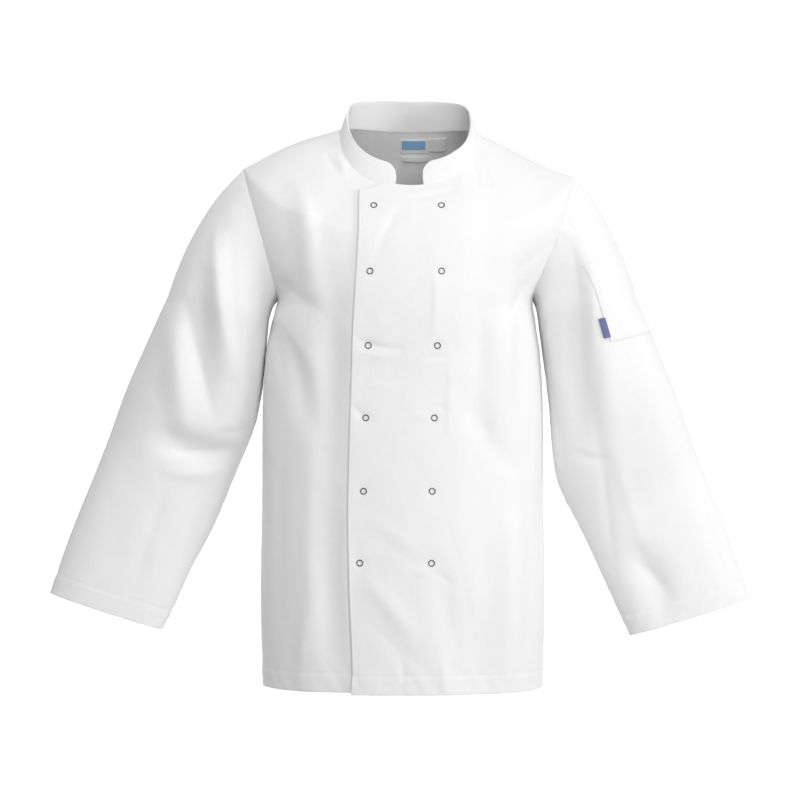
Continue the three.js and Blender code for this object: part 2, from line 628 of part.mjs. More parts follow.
// Draws each edge of a panel in, so that sewn pieces stay apart. The first row may be drawn in further.
function drawIn({ points, closed }, firstRowGap = () => SEAM_GAP / 2) {
  const pull = (point, neighbour, gap) => point.clone().add(neighbour.clone().sub(point).setLength(gap));
  const last = points.length - 1;
  points[0] = points[0].map((point, c) => pull(point, points[1][c], firstRowGap(c / points[0].length)));
  points[last] = points[last].map((point, c) => pull(point, points[last - 1][c], SEAM_GAP / 2));
  if (closed) return;
  points.forEach((row) => {
    row[0] = pull(row[0], row[1], SEAM_GAP / 2);
    row[row.length - 1] = pull(row[row.length - 1], row[row.length - 2], SEAM_GAP / 2);
  });
}
const sleeveGap = (share) => lerp(SEAM_GAP / 2, UNDERARM_GAP, Math.abs(Math.cos(Math.PI * share)) ** 3);
[frontLeft, frontRight, back].forEach((item) => drawIn(item));
[sleeveLeft, sleeveRight].forEach((item) => drawIn(item, sleeveGap));
drawIn(collar, () => COLLAR_GAP);

// A closed wall round a panel's middle surface.
function wall({ points, normals, closed }, thicknessAt) {
  const rows = points.length;
  const columns = points[0].length;
  const positions = [];
  [0.5, -0.5].forEach((share) => points.forEach((row, r) => row.forEach((point, c) => {
    positions.push(...point.clone().addScaledVector(normals[r][c], share * thicknessAt(r)));
  })));
  const outer = (r, c) => r * columns + (c % columns);
  const inner = (r, c) => rows * columns + outer(r, c);
  const faces = [];
  const quad = (a, b, c, d) => faces.push(a, b, c, a, c, d);
  const cells = closed ? columns : columns - 1;
  for (let r = 0; r < rows - 1; r += 1) {
    for (let c = 0; c < cells; c += 1) {
      quad(outer(r, c), outer(r, c + 1), outer(r + 1, c + 1), outer(r + 1, c));
      quad(inner(r, c), inner(r + 1, c), inner(r + 1, c + 1), inner(r, c + 1));
    }
    if (!closed) {
      quad(outer(r, 0), outer(r + 1, 0), inner(r + 1, 0), inner(r, 0));
      quad(outer(r + 1, cells), outer(r, cells), inner(r, cells), inner(r + 1, cells));
    }
  }
  for (let c = 0; c < cells; c += 1) {
    quad(outer(0, c + 1), outer(0, c), inner(0, c), inner(0, c + 1));
    quad(outer(rows - 1, c), outer(rows - 1, c + 1), inner(rows - 1, c + 1), inner(rows - 1, c));
  }
  const geometry = new THREE.BufferGeometry();
  geometry.setAttribute("position", new THREE.Float32BufferAttribute(positions, 3));
  geometry.setIndex(faces);
  geometry.computeVertexNormals();
  return geometry;
}

const jacket = new THREE.Group();
jacket.name = "chef_jacket";

function addMesh(name, geometry, material) {
  const mesh = new THREE.Mesh(geometry, material);
  mesh.name = name;
  jacket.add(mesh);
  return mesh;
}

const whiteCloth = () => new THREE.MeshStandardMaterial({ color: 0xf2f2f2, roughness: 0.85, metalness: 0 });
const hemmed = (isHem) => (r) => CLOTH + (isHem(r) ? HEM_EXTRA : 0);
const plain = (thickness) => () => thickness;

[frontLeft, frontRight, back].forEach((item) => {
  addMesh(item.name, wall(item, hemmed((r) => r === 0)), whiteCloth());
});
const cuffRow = CAP_ROWS + SLEEVE_ROWS;
[sleeveLeft, sleeveRight].forEach((item) => {
  addMesh(item.name, wall(item, hemmed((r) => r === cuffRow)), whiteCloth());
});
addMesh(collar.name, wall(collar, plain(COLLAR_CLOTH)), whiteCloth());

const tabColours = { pocket_tab: 0x2d3258, neck_label: 0x3f74b5 };
[...sleevePatches, ...tapes].forEach((item) => {
  const material = whiteCloth();
  if (tabColours[item.name]) material.color.set(tabColours[item.name]);
  addMesh(item.name, wall(item, plain(PATCH_CLOTH)), material);
});

function studGeometry({ radius, rim, height, bevel }) {
  const profile = [
    [radius - rim, 0],
    [radius, 0],
    [radius, height - bevel],
    [radius - bevel, height],
    [radius - rim + bevel, height],
    [radius - rim, 0],
  ].map(([x, y]) => new THREE.Vector2(x, y));
  return new THREE.LatheGeometry(profile, STUD_SIDES);
}

studSpots.forEach(({ name, point, normal }) => {
  const steel = new THREE.MeshStandardMaterial({ color: 0xb4b6ba, roughness: 0.3, metalness: 1 });
  const stud = addMesh(name, studGeometry(STUD), steel);
  stud.position.copy(point).addScaledVector(normal, CLOTH / 2 + STUD.lift);
  stud.quaternion.setFromUnitVectors(new THREE.Vector3(0, 1, 0), normal);
});

export default jacket;
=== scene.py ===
import functools
import math

import bmesh
import bpy
import numpy as np
from bpy.props import FloatProperty, PointerProperty
from mathutils import Matrix, Vector, noise


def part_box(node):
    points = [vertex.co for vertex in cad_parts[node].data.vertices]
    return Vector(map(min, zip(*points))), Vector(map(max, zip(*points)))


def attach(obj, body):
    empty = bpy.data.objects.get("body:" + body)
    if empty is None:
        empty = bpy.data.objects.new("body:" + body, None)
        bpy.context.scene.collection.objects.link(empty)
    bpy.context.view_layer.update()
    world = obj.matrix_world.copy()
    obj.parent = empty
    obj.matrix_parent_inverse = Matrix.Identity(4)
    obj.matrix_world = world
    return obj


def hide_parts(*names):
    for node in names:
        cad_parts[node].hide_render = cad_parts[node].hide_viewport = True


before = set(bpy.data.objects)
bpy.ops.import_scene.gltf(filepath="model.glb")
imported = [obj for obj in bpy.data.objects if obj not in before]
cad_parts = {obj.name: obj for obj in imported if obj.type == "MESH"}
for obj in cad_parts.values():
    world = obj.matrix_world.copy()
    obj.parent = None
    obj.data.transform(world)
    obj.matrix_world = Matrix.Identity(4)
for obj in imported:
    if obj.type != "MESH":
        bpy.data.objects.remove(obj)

bl_info = {
    "name": "Chef jacket",
    "version": (1, 0, 0),
    "blender": (4, 5, 0),
    "location": "3D View > Sidebar > Chef jacket",
    "description": "Builds a worn double-breasted chef jacket and its studio",
    "category": "Add Mesh",
}

MM = 0.001

# Driving dimensions of the CAD model
NECK_HALF_WIDTH = 95
SHOULDER_HALF_WIDTH = 228
SHOULDER_DROP = 52
UNDERARM_DROP = 228
BODY_DROP = 756
COLLAR_END = 19
COLLAR_LEAN = 0.34
FULLNESS = 0.64
UNDERLAP = 66
LAYER_RISE = 4.4
LEAN_SHIFT, LEAN_FROM, LEAN_TO = -9, -110, -300
LAP_DROP, LAP_START = 0.3, 25
COME_DOWN_START, COME_DOWN_END, COME_DOWN_AT_NECK = 2, 48, 24
SLOUCH = {"height": 9.5, "middle": 176, "reach": 74, "bottom": -170, "top": -50}
HEM_DIP = {"over": 3, "under": 0.4, "start": 168, "end": 190, "height": 0.25}

# A row's place on the body: 0 is the hem
UNDERARM, SHOULDER, NECK = 1, 2, 3

# Side seam from the hem up, a little wider than in the CAD model: z, x, y
SIDE_SEAM = [
    (-BODY_DROP, 192, 2), (-640, 195, 2), (-500, 193, 2),
    (-360, 192, 2), (-290, 187, 2), (-UNDERARM_DROP, 175, 2),
]
SHOULDER_POINT = (SHOULDER_HALF_WIDTH, -12, -SHOULDER_DROP)
UNDERARM_POINT = (175, 2, -UNDERARM_DROP)
SHOULDER_SEAM = [SHOULDER_POINT, (163, -13, -26), (NECK_HALF_WIDTH, -8, 0)]

# armhole: x, y, z from the underarm up. centre_line: z, y. rows: place, z at the centre line.
# arrival: place, then the direction in which a row meets the seam.
FRONT = {
    "armhole": [
        UNDERARM_POINT, (177, -31, -213), (188, -52, -180), (203, -57, -136), (218, -42, -90), SHOULDER_POINT,
    ],
    "centre_line": [
        (-BODY_DROP, -118), (-600, -121), (-450, -117), (-330, -117),
        (-230, -123), (-160, -114), (-110, -93), (-76, -70),
    ],
    "rows": [(0, -BODY_DROP), (UNDERARM, -240), (SHOULDER, -132), (NECK, -76)],
    "arrival": [
        (0, 0, 1, 0), (UNDERARM, 0, 1, 0), (1.25, 0.35, 0.93, 0.05), (1.5, 0.6, 0.79, 0.1),
        (1.75, 0.58, 0.76, 0.28), (SHOULDER, 0.25, 0.82, 0.5), (NECK, 0, 0.7, 0.71),
    ],
}
BACK = {
    "armhole": [
        UNDERARM_POINT, (182, 36, -211), (196, 56, -174), (210, 58, -128), (222, 34, -80), SHOULDER_POINT,
    ],
    "centre_line": [
        (-BODY_DROP, 118), (-600, 117), (-450, 106), (-330, 104), (-230, 112),
        (-150, 114), (-80, 103), (-30, 82), (12, 60),
    ],
    "rows": [(0, -BODY_DROP), (UNDERARM, -232), (SHOULDER, -62), (NECK, 12)],
    "arrival": [
        (0, 0, -1, 0), (UNDERARM, 0, -1, 0), (1.25, 0.35, -0.93, 0), (1.5, 0.5, -0.86, 0),
        (1.75, 0.3, -0.93, -0.2), (SHOULDER, 0.1, -0.97, -0.1), (2.5, 0, -0.93, -0.36),
        (NECK, 0, -0.85, -0.5),
    ],
}

# How far the over front reaches past centre front: z, reach
OVERLAP = [(-752, 69), (-722, 67), (-620, 71), (-510, 73), (-416, 71), (-268, 67), (-76, 69)]

# Press stud rows: z, then each column's x before the body's lean
STUD_ROWS = [
    (-103, -48, 43), (-192, -49, 46), (-291, -46, 46), (-388, -49, 42), (-486, -52, 39), (-582, -57, 38),
]

# Sleeve sections: share of the length, x, y, z, tilt in degrees, half width, half depth
SLEEVES = {
    "left": (1, [
        (0, 243, -4, -236, 13, 68, 74), (0.3, 277, -8, -363, 14, 86, 58), (0.48, 296, -8, -446, 18, 96, 46),
        (0.62, 320, -5, -501, 21, 94, 40), (0.75, 343, -12, -556, 21, 91, 36),
        (0.88, 365, -19, -611, 19, 88, 33), (1, 384, -25, -661, 17, 85, 30),
    ]),
    "right": (-1, [
        (0, -262, 0, -234, 16, 70, 74), (0.3, -298, 3, -363, 18, 91, 58), (0.48, -329, 1, -446, 20, 90, 46),
        (0.62, -351, -5, -501, 22, 89, 40), (0.75, -375, -12, -556, 22, 86, 36),
        (0.88, -398, -19, -611, 20, 83, 33), (1, -415, -25, -653, 18, 80, 30),
    ]),
}
SECTION_POWER = 0.9
CAP_OUT, CAP_DOWN, CAP_BULGE, CAP_HANDLE = (0.65, 0.58), (0.76, 0.81), 0.3, 0.3

COLLAR_CORNER = 19
COLLAR_HEIGHT = [(0, 33), (60, 31), (120, 31), (170, 37), (230, 43)]

# The sleeve's points are counted as in the CAD model: 20 columns round it, column 0 at the underarm, and
# 6 rows of cap above 16 rows of sleeve.
RING, CAP_ROWS, SLEEVE_ROWS = 20, 6, 16
POCKET_ROWS, POCKET_COLUMNS = (4, 8), (10, 14.5)
TAB_ROWS, TAB_COLUMNS = (6.75, 7.75), (14.44, 14.76)
POCKET_SLOPE = 0.9  # rows by which the front end of the pocket's mouth is higher

# Tapes inside the back neck: left edge, width, top, height, clearance to the cloth, bow away from it
TAPES = {
    "label_base": (-12, 40, 2, 19, 0.15, 0.0, "white_tape"),
    "neck_label": (-10, 33, 0.5, 11.5, 0.9, 0.5, "blue_label"),
    "care_label": (28, 24, 4, 18, 0.5, 1.6, "white_tape"),
    "hanger_loop": (-11, 38, -20.5, 6.5, 1.2, 3.2, "white_tape"),
}

# Large folds, most of them as in the CAD model: x and z of start, middle handle and end, depth, reach
FOLDS = {
    "front": [
        (-100, -190, -108, -330, -105, -470, -6.5, 30), (-104, -420, -111, -560, -107, -740, -5, 30),
        (-176, -250, -150, -330, -130, -420, -7, 26), (-146, -60, -140, -160, -118, -260, 5, 26),
        (-126, -560, -130, -660, -134, -790, 4.5, 30), (-64, -590, -30, -630, 12, -700, 2.2, 24),
        (34, -560, 52, -650, 84, -790, -4, 30), (120, -150, 124, -330, 112, -460, 6, 30),
        (138, -500, 136, -620, 126, -790, 8, 30), (60, -330, 100, -420, 150, -470, -3.5, 26),
    ],
    "back": [
        (-150, -200, -120, -300, -130, -460, -7, 28), (-112, -400, -128, -560, -112, -790, -9, 30),
        (-40, -420, -56, -560, -50, -790, 8, 30), (3, -10, 2, -60, 6, -150, -4, 16),
        (140, -190, 112, -300, 100, -430, -7, 28), (86, -380, 100, -560, 94, -790, -9, 32),
    ],
    "sleeve_right_front": [
        (-252, -130, -264, -230, -246, -340, 8, 28), (-276, -180, -300, -270, -262, -400, -11, 32),
        (-322, -230, -318, -320, -310, -420, 7, 30), (-350, -400, -290, -452, -236, -424, -11, 30),
    ],
    "sleeve_left_front": [
        (212, -140, 214, -280, 240, -440, -11, 34), (258, -160, 258, -300, 284, -470, 7, 32),
        (300, -560, 330, -590, 356, -680, -8, 32),
    ],
    "sleeve_right_back": [
        (-250, -150, -300, -300, -300, -420, -10, 34), (-372, -420, -320, -456, -250, -430, -10, 30),
    ],
    "sleeve_left_back": [
        (250, -150, 290, -300, 280, -430, -10, 34), (352, -420, 300, -458, 236, -440, -10, 30),
    ],
}
FOLD_EDGE, FOLD_POWER = 1.6, 2.0

# Finer creases, the same way, with one reach on each side: to the left and to the right of the crease's run
CREASE_POWER = 1.6
CREASES = {
    "front": [
        (-76, -190, -80, -330, -84, -470, 2.0, 17, 13), (-84, -440, -86, -600, -82, -765, 2.5, 17, 13),
        (-152, -72, -131, -116, -125, -179, 2.5, 14, 22), (-203, -179, -167, -217, -106, -254, -3.0, 16, 22),
        (-197, -230, -160, -270, -117, -337, 2.0, 16, 16),
        (-128, -391, -138, -525, -132, -685, 1.4, 16, 20), (-137, -632, -143, -699, -148, -765, 2.5, 12, 16),
        (-171, -391, -179, -525, -172, -685, -2.0, 16, 14),
        (-197, -230, -180, -284, -168, -364, -2.0, 10, 14), (-117, -29, -106, -37, -96, -59, -1.6, 8, 9),
        (-101, -27, -90, -40, -85, -67, 1.6, 7, 8), (-86, -96, -133, -136, -180, -179, -1.5, 18, 14),
        (-15, -96, 27, -95, 65, -79, -1.6, 6, 10), (-13, -88, 27, -86, 57, -78, 0.8, 6, 6),
        (-7, -104, -34, -131, -49, -182, -1.8, 14, 9), (25, -187, -6, -230, -42, -254, -1.6, 16, 12),
        (33, -179, 35, -230, 31, -290, 1.4, 12, 6), (-77, -277, -50, -297, -2, -294, -1.5, 6, 8),
        (-72, -300, -45, -306, -13, -305, 1.0, 6, 8), (19, -306, 38, -308, 54, -304, -1.2, 6, 6),
        (53, -300, 53, -357, 50, -418, 1.5, 14, 6), (-80, -368, -69, -377, -58, -391, -1.8, 6, 6),
        (1, -384, 19, -387, 33, -389, 0.9, 5, 6), (35, -371, 43, -377, 57, -380, -1.0, 6, 6),
        (-77, -514, -26, -533, 30, -578, 0.7, 12, 16), (-50, -541, -21, -562, 22, -594, -0.8, 14, 16),
        (3, -598, 19, -594, 29, -587, 1.0, 6, 6), (31, -592, 46, -600, 62, -616, -1.2, 7, 7),
        (-66, -605, -26, -634, 14, -688, 0.8, 14, 14), (-77, -645, -26, -685, 54, -752, -1.0, 16, 18),
        (49, -518, 81, -632, 92, -755, -2.2, 18, 24), (132, -143, 137, -270, 126, -404, 3.0, 18, 22),
        (128, -458, 137, -618, 132, -765, 2.0, 26, 28), (92, -217, 97, -297, 89, -391, -2.0, 14, 16),
        (196, -147, 168, -179, 128, -197, -1.6, 9, 12), (181, -179, 148, -219, 118, -270, -2.0, 9, 14),
        (81, -29, 94, -50, 92, -86, -1.4, 7, 7), (92, -19, 110, -43, 121, -83, 1.4, 8, 9),
        (161, -391, 156, -525, 164, -658, -2.0, 12, 16), (-13, -699, -7, -732, -10, -765, -1.5, 10, 10),
        (41, -699, 46, -739, 49, -765, 1.5, 10, 10),
    ],
    "back": [
        (-70, -60, -80, -120, -120, -190, -2.2, 16, 12), (60, -50, 86, -120, 130, -200, -2.4, 12, 16),
        (-150, -150, -110, -220, -60, -260, 2.0, 14, 14), (30, -330, 20, -450, 34, -600, -2.6, 12, 16),
        (-10, -560, 4, -660, -6, -760, 2.6, 14, 18), (150, -300, 140, -420, 150, -560, 2.4, 14, 18),
        (-150, -330, -156, -460, -146, -600, 2.2, 16, 14), (-84, -640, -80, -700, -86, -775, -2.4, 12, 12),
        (48, -640, 56, -700, 50, -775, -2.2, 12, 12), (-20, -20, -40, -60, -30, -120, 1.4, 10, 10),
        (-120, -300, -20, -330, 90, -310, -1.8, 10, 16), (-160, -90, -150, -140, -128, -200, 1.8, 12, 12),
    ],
    "sleeve_right_front": [
        (-262, -112, -266, -214, -239, -326, 3.0, 8, 12), (-242, -126, -247, -228, -225, -337, -3.0, 12, 9),
        (-310, -214, -291, -296, -263, -402, -3.5, 9, 12), (-312, -255, -312, -337, -302, -418, 3.0, 18, 14),
        (-351, -427, -291, -443, -231, -429, -3.5, 9, 14), (-340, -459, -299, -473, -250, -457, 2.5, 14, 12),
        (-333, -473, -353, -555, -383, -636, -2.0, 12, 16), (-299, -500, -318, -582, -340, -670, 1.8, 16, 16),
        (-269, -459, -291, -541, -310, -636, -1.5, 12, 12), (-206, -187, -223, -269, -209, -364, -2.5, 9, 12),
        (-217, -228, -231, -296, -223, -391, 2.0, 9, 9), (-265, -405, -242, -413, -217, -402, -1.8, 7, 8),
    ],
    "sleeve_left_front": [
        (219, -146, 238, -214, 230, -364, -4.0, 9, 16), (243, -167, 249, -255, 246, -357, 2.5, 12, 6),
        (249, -364, 268, -473, 284, -636, -1.8, 10, 12), (178, -228, 189, -337, 213, -459, -3.0, 9, 10),
        (170, -252, 185, -364, 208, -470, 1.6, 6, 7), (303, -582, 336, -598, 363, -642, -2.4, 12, 14),
        (382, -418, 404, -514, 434, -623, -2.2, 12, 16), (314, -228, 328, -337, 358, -459, 1.6, 18, 18),
        (219, -432, 246, -448, 276, -443, -1.8, 8, 10), (273, -405, 295, -500, 328, -582, 1.8, 14, 14),
    ],
    "sleeve_right_back": [
        (-262, -150, -280, -260, -270, -380, 2.5, 10, 14), (-300, -200, -310, -320, -330, -420, -3.0, 12, 10),
        (-372, -430, -330, -448, -270, -430, -3.0, 9, 12), (-360, -470, -380, -540, -400, -620, 2.0, 12, 12),
        (-340, -480, -350, -560, -372, -640, -1.8, 12, 12),
    ],
    "sleeve_left_back": [
        (250, -140, 262, -250, 262, -370, 2.6, 14, 10), (292, -190, 300, -300, 312, -420, -3.0, 10, 12),
        (262, -440, 310, -456, 356, -428, -3.0, 9, 12), (330, -480, 352, -560, 378, -640, -2.0, 12, 12),
        (350, -500, 372, -560, 398, -620, 2.0, 12, 12),
    ],
}
FOLD_TAPER = 24  # creases grow from nothing over this distance from a seam
# Uneven rise and fall between the creases: lengths of the slow and of the fine waves, and their heights
CRUMPLE = {"across": 70, "along": 190, "fine_across": 31, "fine_along": 58, "fine_share": 0.45, "height": 1.5}
SEAM_VALLEY, SEAM_WIDTH, SEAM_TUCK = 0.45, 4.5, 1.3
PUCKER = {"height": 0.55, "fade": 11, "wave": 4.6}
STUD_DIMPLE, STUD_DIMPLE_REACH = 0.9, 9.0

# Grooves along the stitching, and the ropes that a hem's stitching pulls up
GROOVE_WIDTH, HEM_GROOVE, EDGE_GROOVE, COLLAR_GROOVE = 1.6, 0.45, 0.12, 0.3
ROPE = {"height": 0.32, "reach": 16}
COLLAR_WAVE, COLLAR_STITCH = 0.7, 5
SMOOTHING_ROUNDS = {"body": 12, "sleeve": 8}

# How far a layer, a thread and a stud stand off their cloth
LAYER_GAP, THREAD_LIFT, STUD_LIFT = 0.3, 0.1, 0.45
# How far the pocket's edges sink and its middle puffs up, and the tab stands off and puffs up
POCKET_SINK, POCKET_PUFF, TAB_LIFT, TAB_PUFF = 0.2, 0.8, 0.8, 0.9
# Edge to stitching, round the pocket and below its mouth
POCKET_STITCH, MOUTH_STITCH = 2, 14
HEM_WALL = 1.45  # the wall of a turned-up hem, in walls of its cloth
EDGE_ROUNDING = 0.25  # the rounding of a cloth's edges, in walls

# Grid counts of the shown cloth
SIDE_ROWS, ARMHOLE_ROWS, SHOULDER_ROWS = 160, 54, 40
FRONT_COLUMNS, BACK_COLUMNS, COLUMN_CROWDING = 74, 140, 1.15
LAP_STEP = 2.6
CAP_STEPS, SLEEVE_STEPS, SLEEVE_COLUMNS = 40, 128, 128
COLLAR_STEPS = 14

# The studio in metres: a floor that bends up into a wall, lamps with their name, place, aim, size and watts,
# and where the photograph was taken from
STAGE = {"floor": -1.62, "wall": 6.4, "bend": 1.6, "across": 9.0, "near_end": -9.0, "top": 6.5}
# Where the backdrop starts to glow, going back, where it glows in full, and how strongly
GLOW = {"starts": 0.3, "full": 1.6, "strength": 0.75}
LAMPS = [
    ("key", (3.4, -1.9, 0.0), (0, 0, -0.35), 1.2, 44),
    ("front", (0.9, -2.8, 0.5), (0, 0, -0.3), 1.4, 29),
    ("above", (-0.3, -1.6, 1.9), (0, 0, -0.2), 1.2, 17),
]
SURROUND_COLOUR, SURROUND_STRENGTH = (1, 0.99, 0.985, 1), 0.49
CAMERA_PLACE, CAMERA_LENS, CAMERA_SENSOR = (-0.0128, -3.8, -0.364), 123.9, 36


def smooth(at, low, high):
    share = np.clip((np.asarray(at, float) - low) / (high - low), 0, 1)
    return share * share * (3 - 2 * share)


def look_up(table, column, at):
    """The table's column where its first column has the value at, on a smooth line through its rows."""
    keys = np.array([row[0] for row in table], float)
    values = np.array([row[column] for row in table], float)
    at = np.clip(np.asarray(at, float), keys[0], keys[-1])
    low = np.clip(np.searchsorted(keys, at) - 1, 0, len(keys) - 2)
    before, after = np.maximum(low - 1, 0), np.minimum(low + 2, len(keys) - 1)
    span = keys[low + 1] - keys[low]
    share = (at - keys[low]) / span
    start = (values[low + 1] - values[before]) / (keys[low + 1] - keys[before]) * span
    end = (values[after] - values[low]) / (keys[after] - keys[low]) * span
    square, cube = share**2, share**3
    return (
        (2 * cube - 3 * square + 1) * values[low]
        + (cube - 2 * square + share) * start
        + (3 * square - 2 * cube) * values[low + 1]
        + (cube - square) * end
    )


def lengths_along(points, axis=0):
    """Distance of each point of a line or grid from the first one along that axis."""
    steps = np.linalg.norm(np.diff(points, axis=axis), axis=-1)
    return np.cumsum(np.concatenate([np.zeros_like(np.take(steps, [0], axis)), steps], axis), axis)


def pick(line, distances, along=None):
    """Points of a line at these distances along it."""
    along = lengths_along(line) if along is None else along
    return np.stack([np.interp(distances, along, line[:, i]) for i in range(line.shape[1])], -1)


def unit(vectors):
    return vectors / np.maximum(np.linalg.norm(vectors, axis=-1, keepdims=True), 1e-12)


def bezier(a, b, c, d, steps=120):
    t = np.linspace(0, 1, steps + 1)[:, None]
    return a * (1 - t) ** 3 + 3 * b * t * (1 - t) ** 2 + 3 * c * t**2 * (1 - t) + d * t**3


def curve_through(knots, steps=60):
    """A smooth line through these points, as a centripetal Catmull-Rom curve."""
    knots = np.array(knots, float)
    knots = np.vstack([2 * knots[0] - knots[1], knots, 2 * knots[-1] - knots[-2]])
    t = np.linspace(0, 1, steps, endpoint=False)[:, None]
    line = []
    for p0, p1, p2, p3 in zip(knots, knots[1:], knots[2:], knots[3:]):
        d0, d1, d2 = (np.sqrt(np.linalg.norm(b - a)) for a, b in ((p0, p1), (p1, p2), (p2, p3)))
        m1 = ((p1 - p0) / d0 - (p2 - p0) / (d0 + d1) + (p2 - p1) / d1) * d1
        m2 = ((p2 - p1) / d1 - (p3 - p1) / (d1 + d2) + (p3 - p2) / d2) * d1
        line.append(
            (2 * t**3 - 3 * t**2 + 1) * p1 + (t**3 - 2 * t**2 + t) * m1
            + (3 * t**2 - 2 * t**3) * p2 + (t**3 - t**2) * m2
        )
    return np.vstack([*line, knots[-2:-1]])


ARMHOLES = {id(half): curve_through(half["armhole"]) for half in (FRONT, BACK)}
SHOULDER_LINE = curve_through(SHOULDER_SEAM)


def lean_at(z):
    return LEAN_SHIFT * (1 - smooth(z, LEAN_TO, LEAN_FROM))


def settle(points):
    """The worn body leans to one side below the chest, and its shoulders aren't level."""
    x, y, z = points[..., 0], points[..., 1], points[..., 2]
    along = (np.abs(x) - SLOUCH["middle"]) / SLOUCH["reach"]
    share = np.exp(-(along**2)) * smooth(z, SLOUCH["bottom"], SLOUCH["top"])
    return np.stack([x + lean_at(z), y, z - SLOUCH["height"] * np.sign(x) * share], -1)


def outer_point(half, place):
    """Where a row of the body meets the side seam, the armhole or the shoulder seam."""
    if place > UNDERARM:
        line = SHOULDER_LINE if place > SHOULDER else ARMHOLES[id(half)]
        along = lengths_along(line)
        share = place - (SHOULDER if place > SHOULDER else UNDERARM)
        return pick(line, share * along[-1], along)
    z = -BODY_DROP + (BODY_DROP - UNDERARM_DROP) * place
    return np.array([look_up(SIDE_SEAM, 1, z), look_up(SIDE_SEAM, 2, z), z])


def body_row(half, place):
    """One row of the body on the wearer's left, from the centre line outwards."""
    z = look_up(half["rows"], 1, place)
    start = np.array([0, look_up(half["centre_line"], 1, z), z])
    end = outer_point(half, place)
    arrival = unit(np.array([look_up(half["arrival"], i, place) for i in (1, 2, 3)]))
    across = end - start
    along = across @ arrival
    out = (across[0] - arrival[0] * along) / (1 - arrival[0] ** 2)
    back = (along - arrival[0] * across[0]) / (1 - arrival[0] ** 2)
    return bezier(start, start + np.array([out * FULLNESS, 0, 0]), end - arrival * back * FULLNESS, end)


def body_places(hem_stitch):
    """Rows from the hem to the neck, with three close together at the hem's stitching."""
    stitch = hem_stitch / (BODY_DROP - UNDERARM_DROP)
    near = 1.5 / (BODY_DROP - UNDERARM_DROP)
    side = np.linspace(0, UNDERARM, SIDE_ROWS + 1)
    side = side[np.abs(side - stitch) > 2 * near]
    return np.sort(np.concatenate([
        side, [stitch - near, stitch, stitch + near],
        np.linspace(UNDERARM, SHOULDER, ARMHOLE_ROWS + 1)[1:],
        np.linspace(SHOULDER, NECK, SHOULDER_ROWS + 1)[1:],
    ]))


def front_points(side, reach_at, hem_dip, places):
    """A front from its free edge to the side, and the number of columns before the collar's end."""
    lap = np.linspace(0, 1, round((UNDERLAP + COLLAR_END) / LAP_STEP) + 1)[:-1]
    main = np.linspace(0, 1, FRONT_COLUMNS + 1) ** COLUMN_CROWDING
    rows = []
    for place in places:
        line = body_row(FRONT, place)
        along = lengths_along(line)
        reach = reach_at(look_up(FRONT["rows"], 1, place))
        distance = np.concatenate([
            -reach + (COLLAR_END + reach) * lap, COLLAR_END + (along[-1] - COLLAR_END) * main,
        ])
        row = pick(line, np.abs(distance), along)
        if place > SHOULDER:  # the free edge's corner falls away towards the neck
            drop = LAP_DROP * smooth(-distance, LAP_START, reach) * smooth(place, SHOULDER, NECK)
            for i in np.flatnonzero(drop):
                lower = body_row(FRONT, place - drop[i])
                row[i] = pick(lower, abs(distance[i]))
        row[:, 0] *= np.sign(side * distance)
        rows.append(row)
    points = settle(np.array(rows))
    dip = 1 - smooth(np.abs(points[..., 0]), HEM_DIP["start"], HEM_DIP["end"])
    points[..., 2] -= hem_dip * dip * (1 - smooth(places, 0, HEM_DIP["height"]))[:, None]
    return (points if side > 0 else points[:, ::-1]), len(lap)


def back_points(places):
    shares = np.linspace(1, -1, BACK_COLUMNS + 1)
    rows = []
    for place in places:
        line = body_row(BACK, place)
        along = lengths_along(line)
        row = pick(line, np.abs(shares) * along[-1], along)
        row[:, 0] *= np.sign(shares)
        rows.append(row)
    return settle(np.array(rows))


def relax(points, rounds):
    """Evens out the inner points of a grid, so that no row shows as a ridge."""
    for _ in range(rounds):
        inner = points[2:, 1:-1] + points[:-2, 1:-1] + points[1:-1, 2:] + points[1:-1, :-2]
        points[1:-1, 1:-1] = 0.5 * points[1:-1, 1:-1] + 0.125 * inner
    return points


def find_normals(points):
    """Unit normals of a grid, from the steps to each point's neighbours."""
    return unit(np.cross(np.gradient(points, axis=1), np.gradient(points, axis=0)))


def crease_height(creases, points, power):
    """Height of creases at points seen from the front or back: a creased line with a bell-shaped section."""
    x, z = points[..., 0].ravel(), points[..., 2].ravel()
    height = np.zeros(x.size)
    t = np.linspace(0, 1, 41)[:, None]
    for x0, z0, x1, z1, x2, z2, depth, *reaches in creases:
        left, right = reaches[0], reaches[-1]
        a, b, c = np.array([(x0, z0), (x1, z1), (x2, z2)], float)
        line = a * (1 - t) ** 2 + 2 * b * t * (1 - t) + c * t**2
        speed = 2 * (b - a) * (1 - t) + 2 * (c - b) * t
        margin = 1.6 * max(left, right)
        low, high = line.min(0) - margin, line.max(0) + margin
        near = np.flatnonzero((x > low[0]) & (x < high[0]) & (z > low[1]) & (z < high[1]))
        dx, dz = x[near][:, None] - line[:, 0], z[near][:, None] - line[:, 1]
        k = np.argmin(dx**2 + dz**2, axis=1)
        here = np.arange(len(near))
        dx, dz, run = dx[here, k], dz[here, k], speed[k]
        pace = np.linalg.norm(run, axis=1)
        aside = (run[:, 0] * dz - run[:, 1] * dx) / pace
        along = np.clip(t[k, 0] + (run[:, 0] * dx + run[:, 1] * dz) / pace**2, 0, 1)
        reach = np.where(aside > 0, left, right)
        bell = np.exp(-((FOLD_EDGE * np.abs(aside) / reach) ** power))
        height[near] += depth * np.sin(math.pi * along) * bell
    return height.reshape(points.shape[:-1])


def creased(name, points, depth):
    large = crease_height(FOLDS.get(name, []), points, FOLD_POWER)
    return large + depth * crease_height(CREASES[name], points, CREASE_POWER)


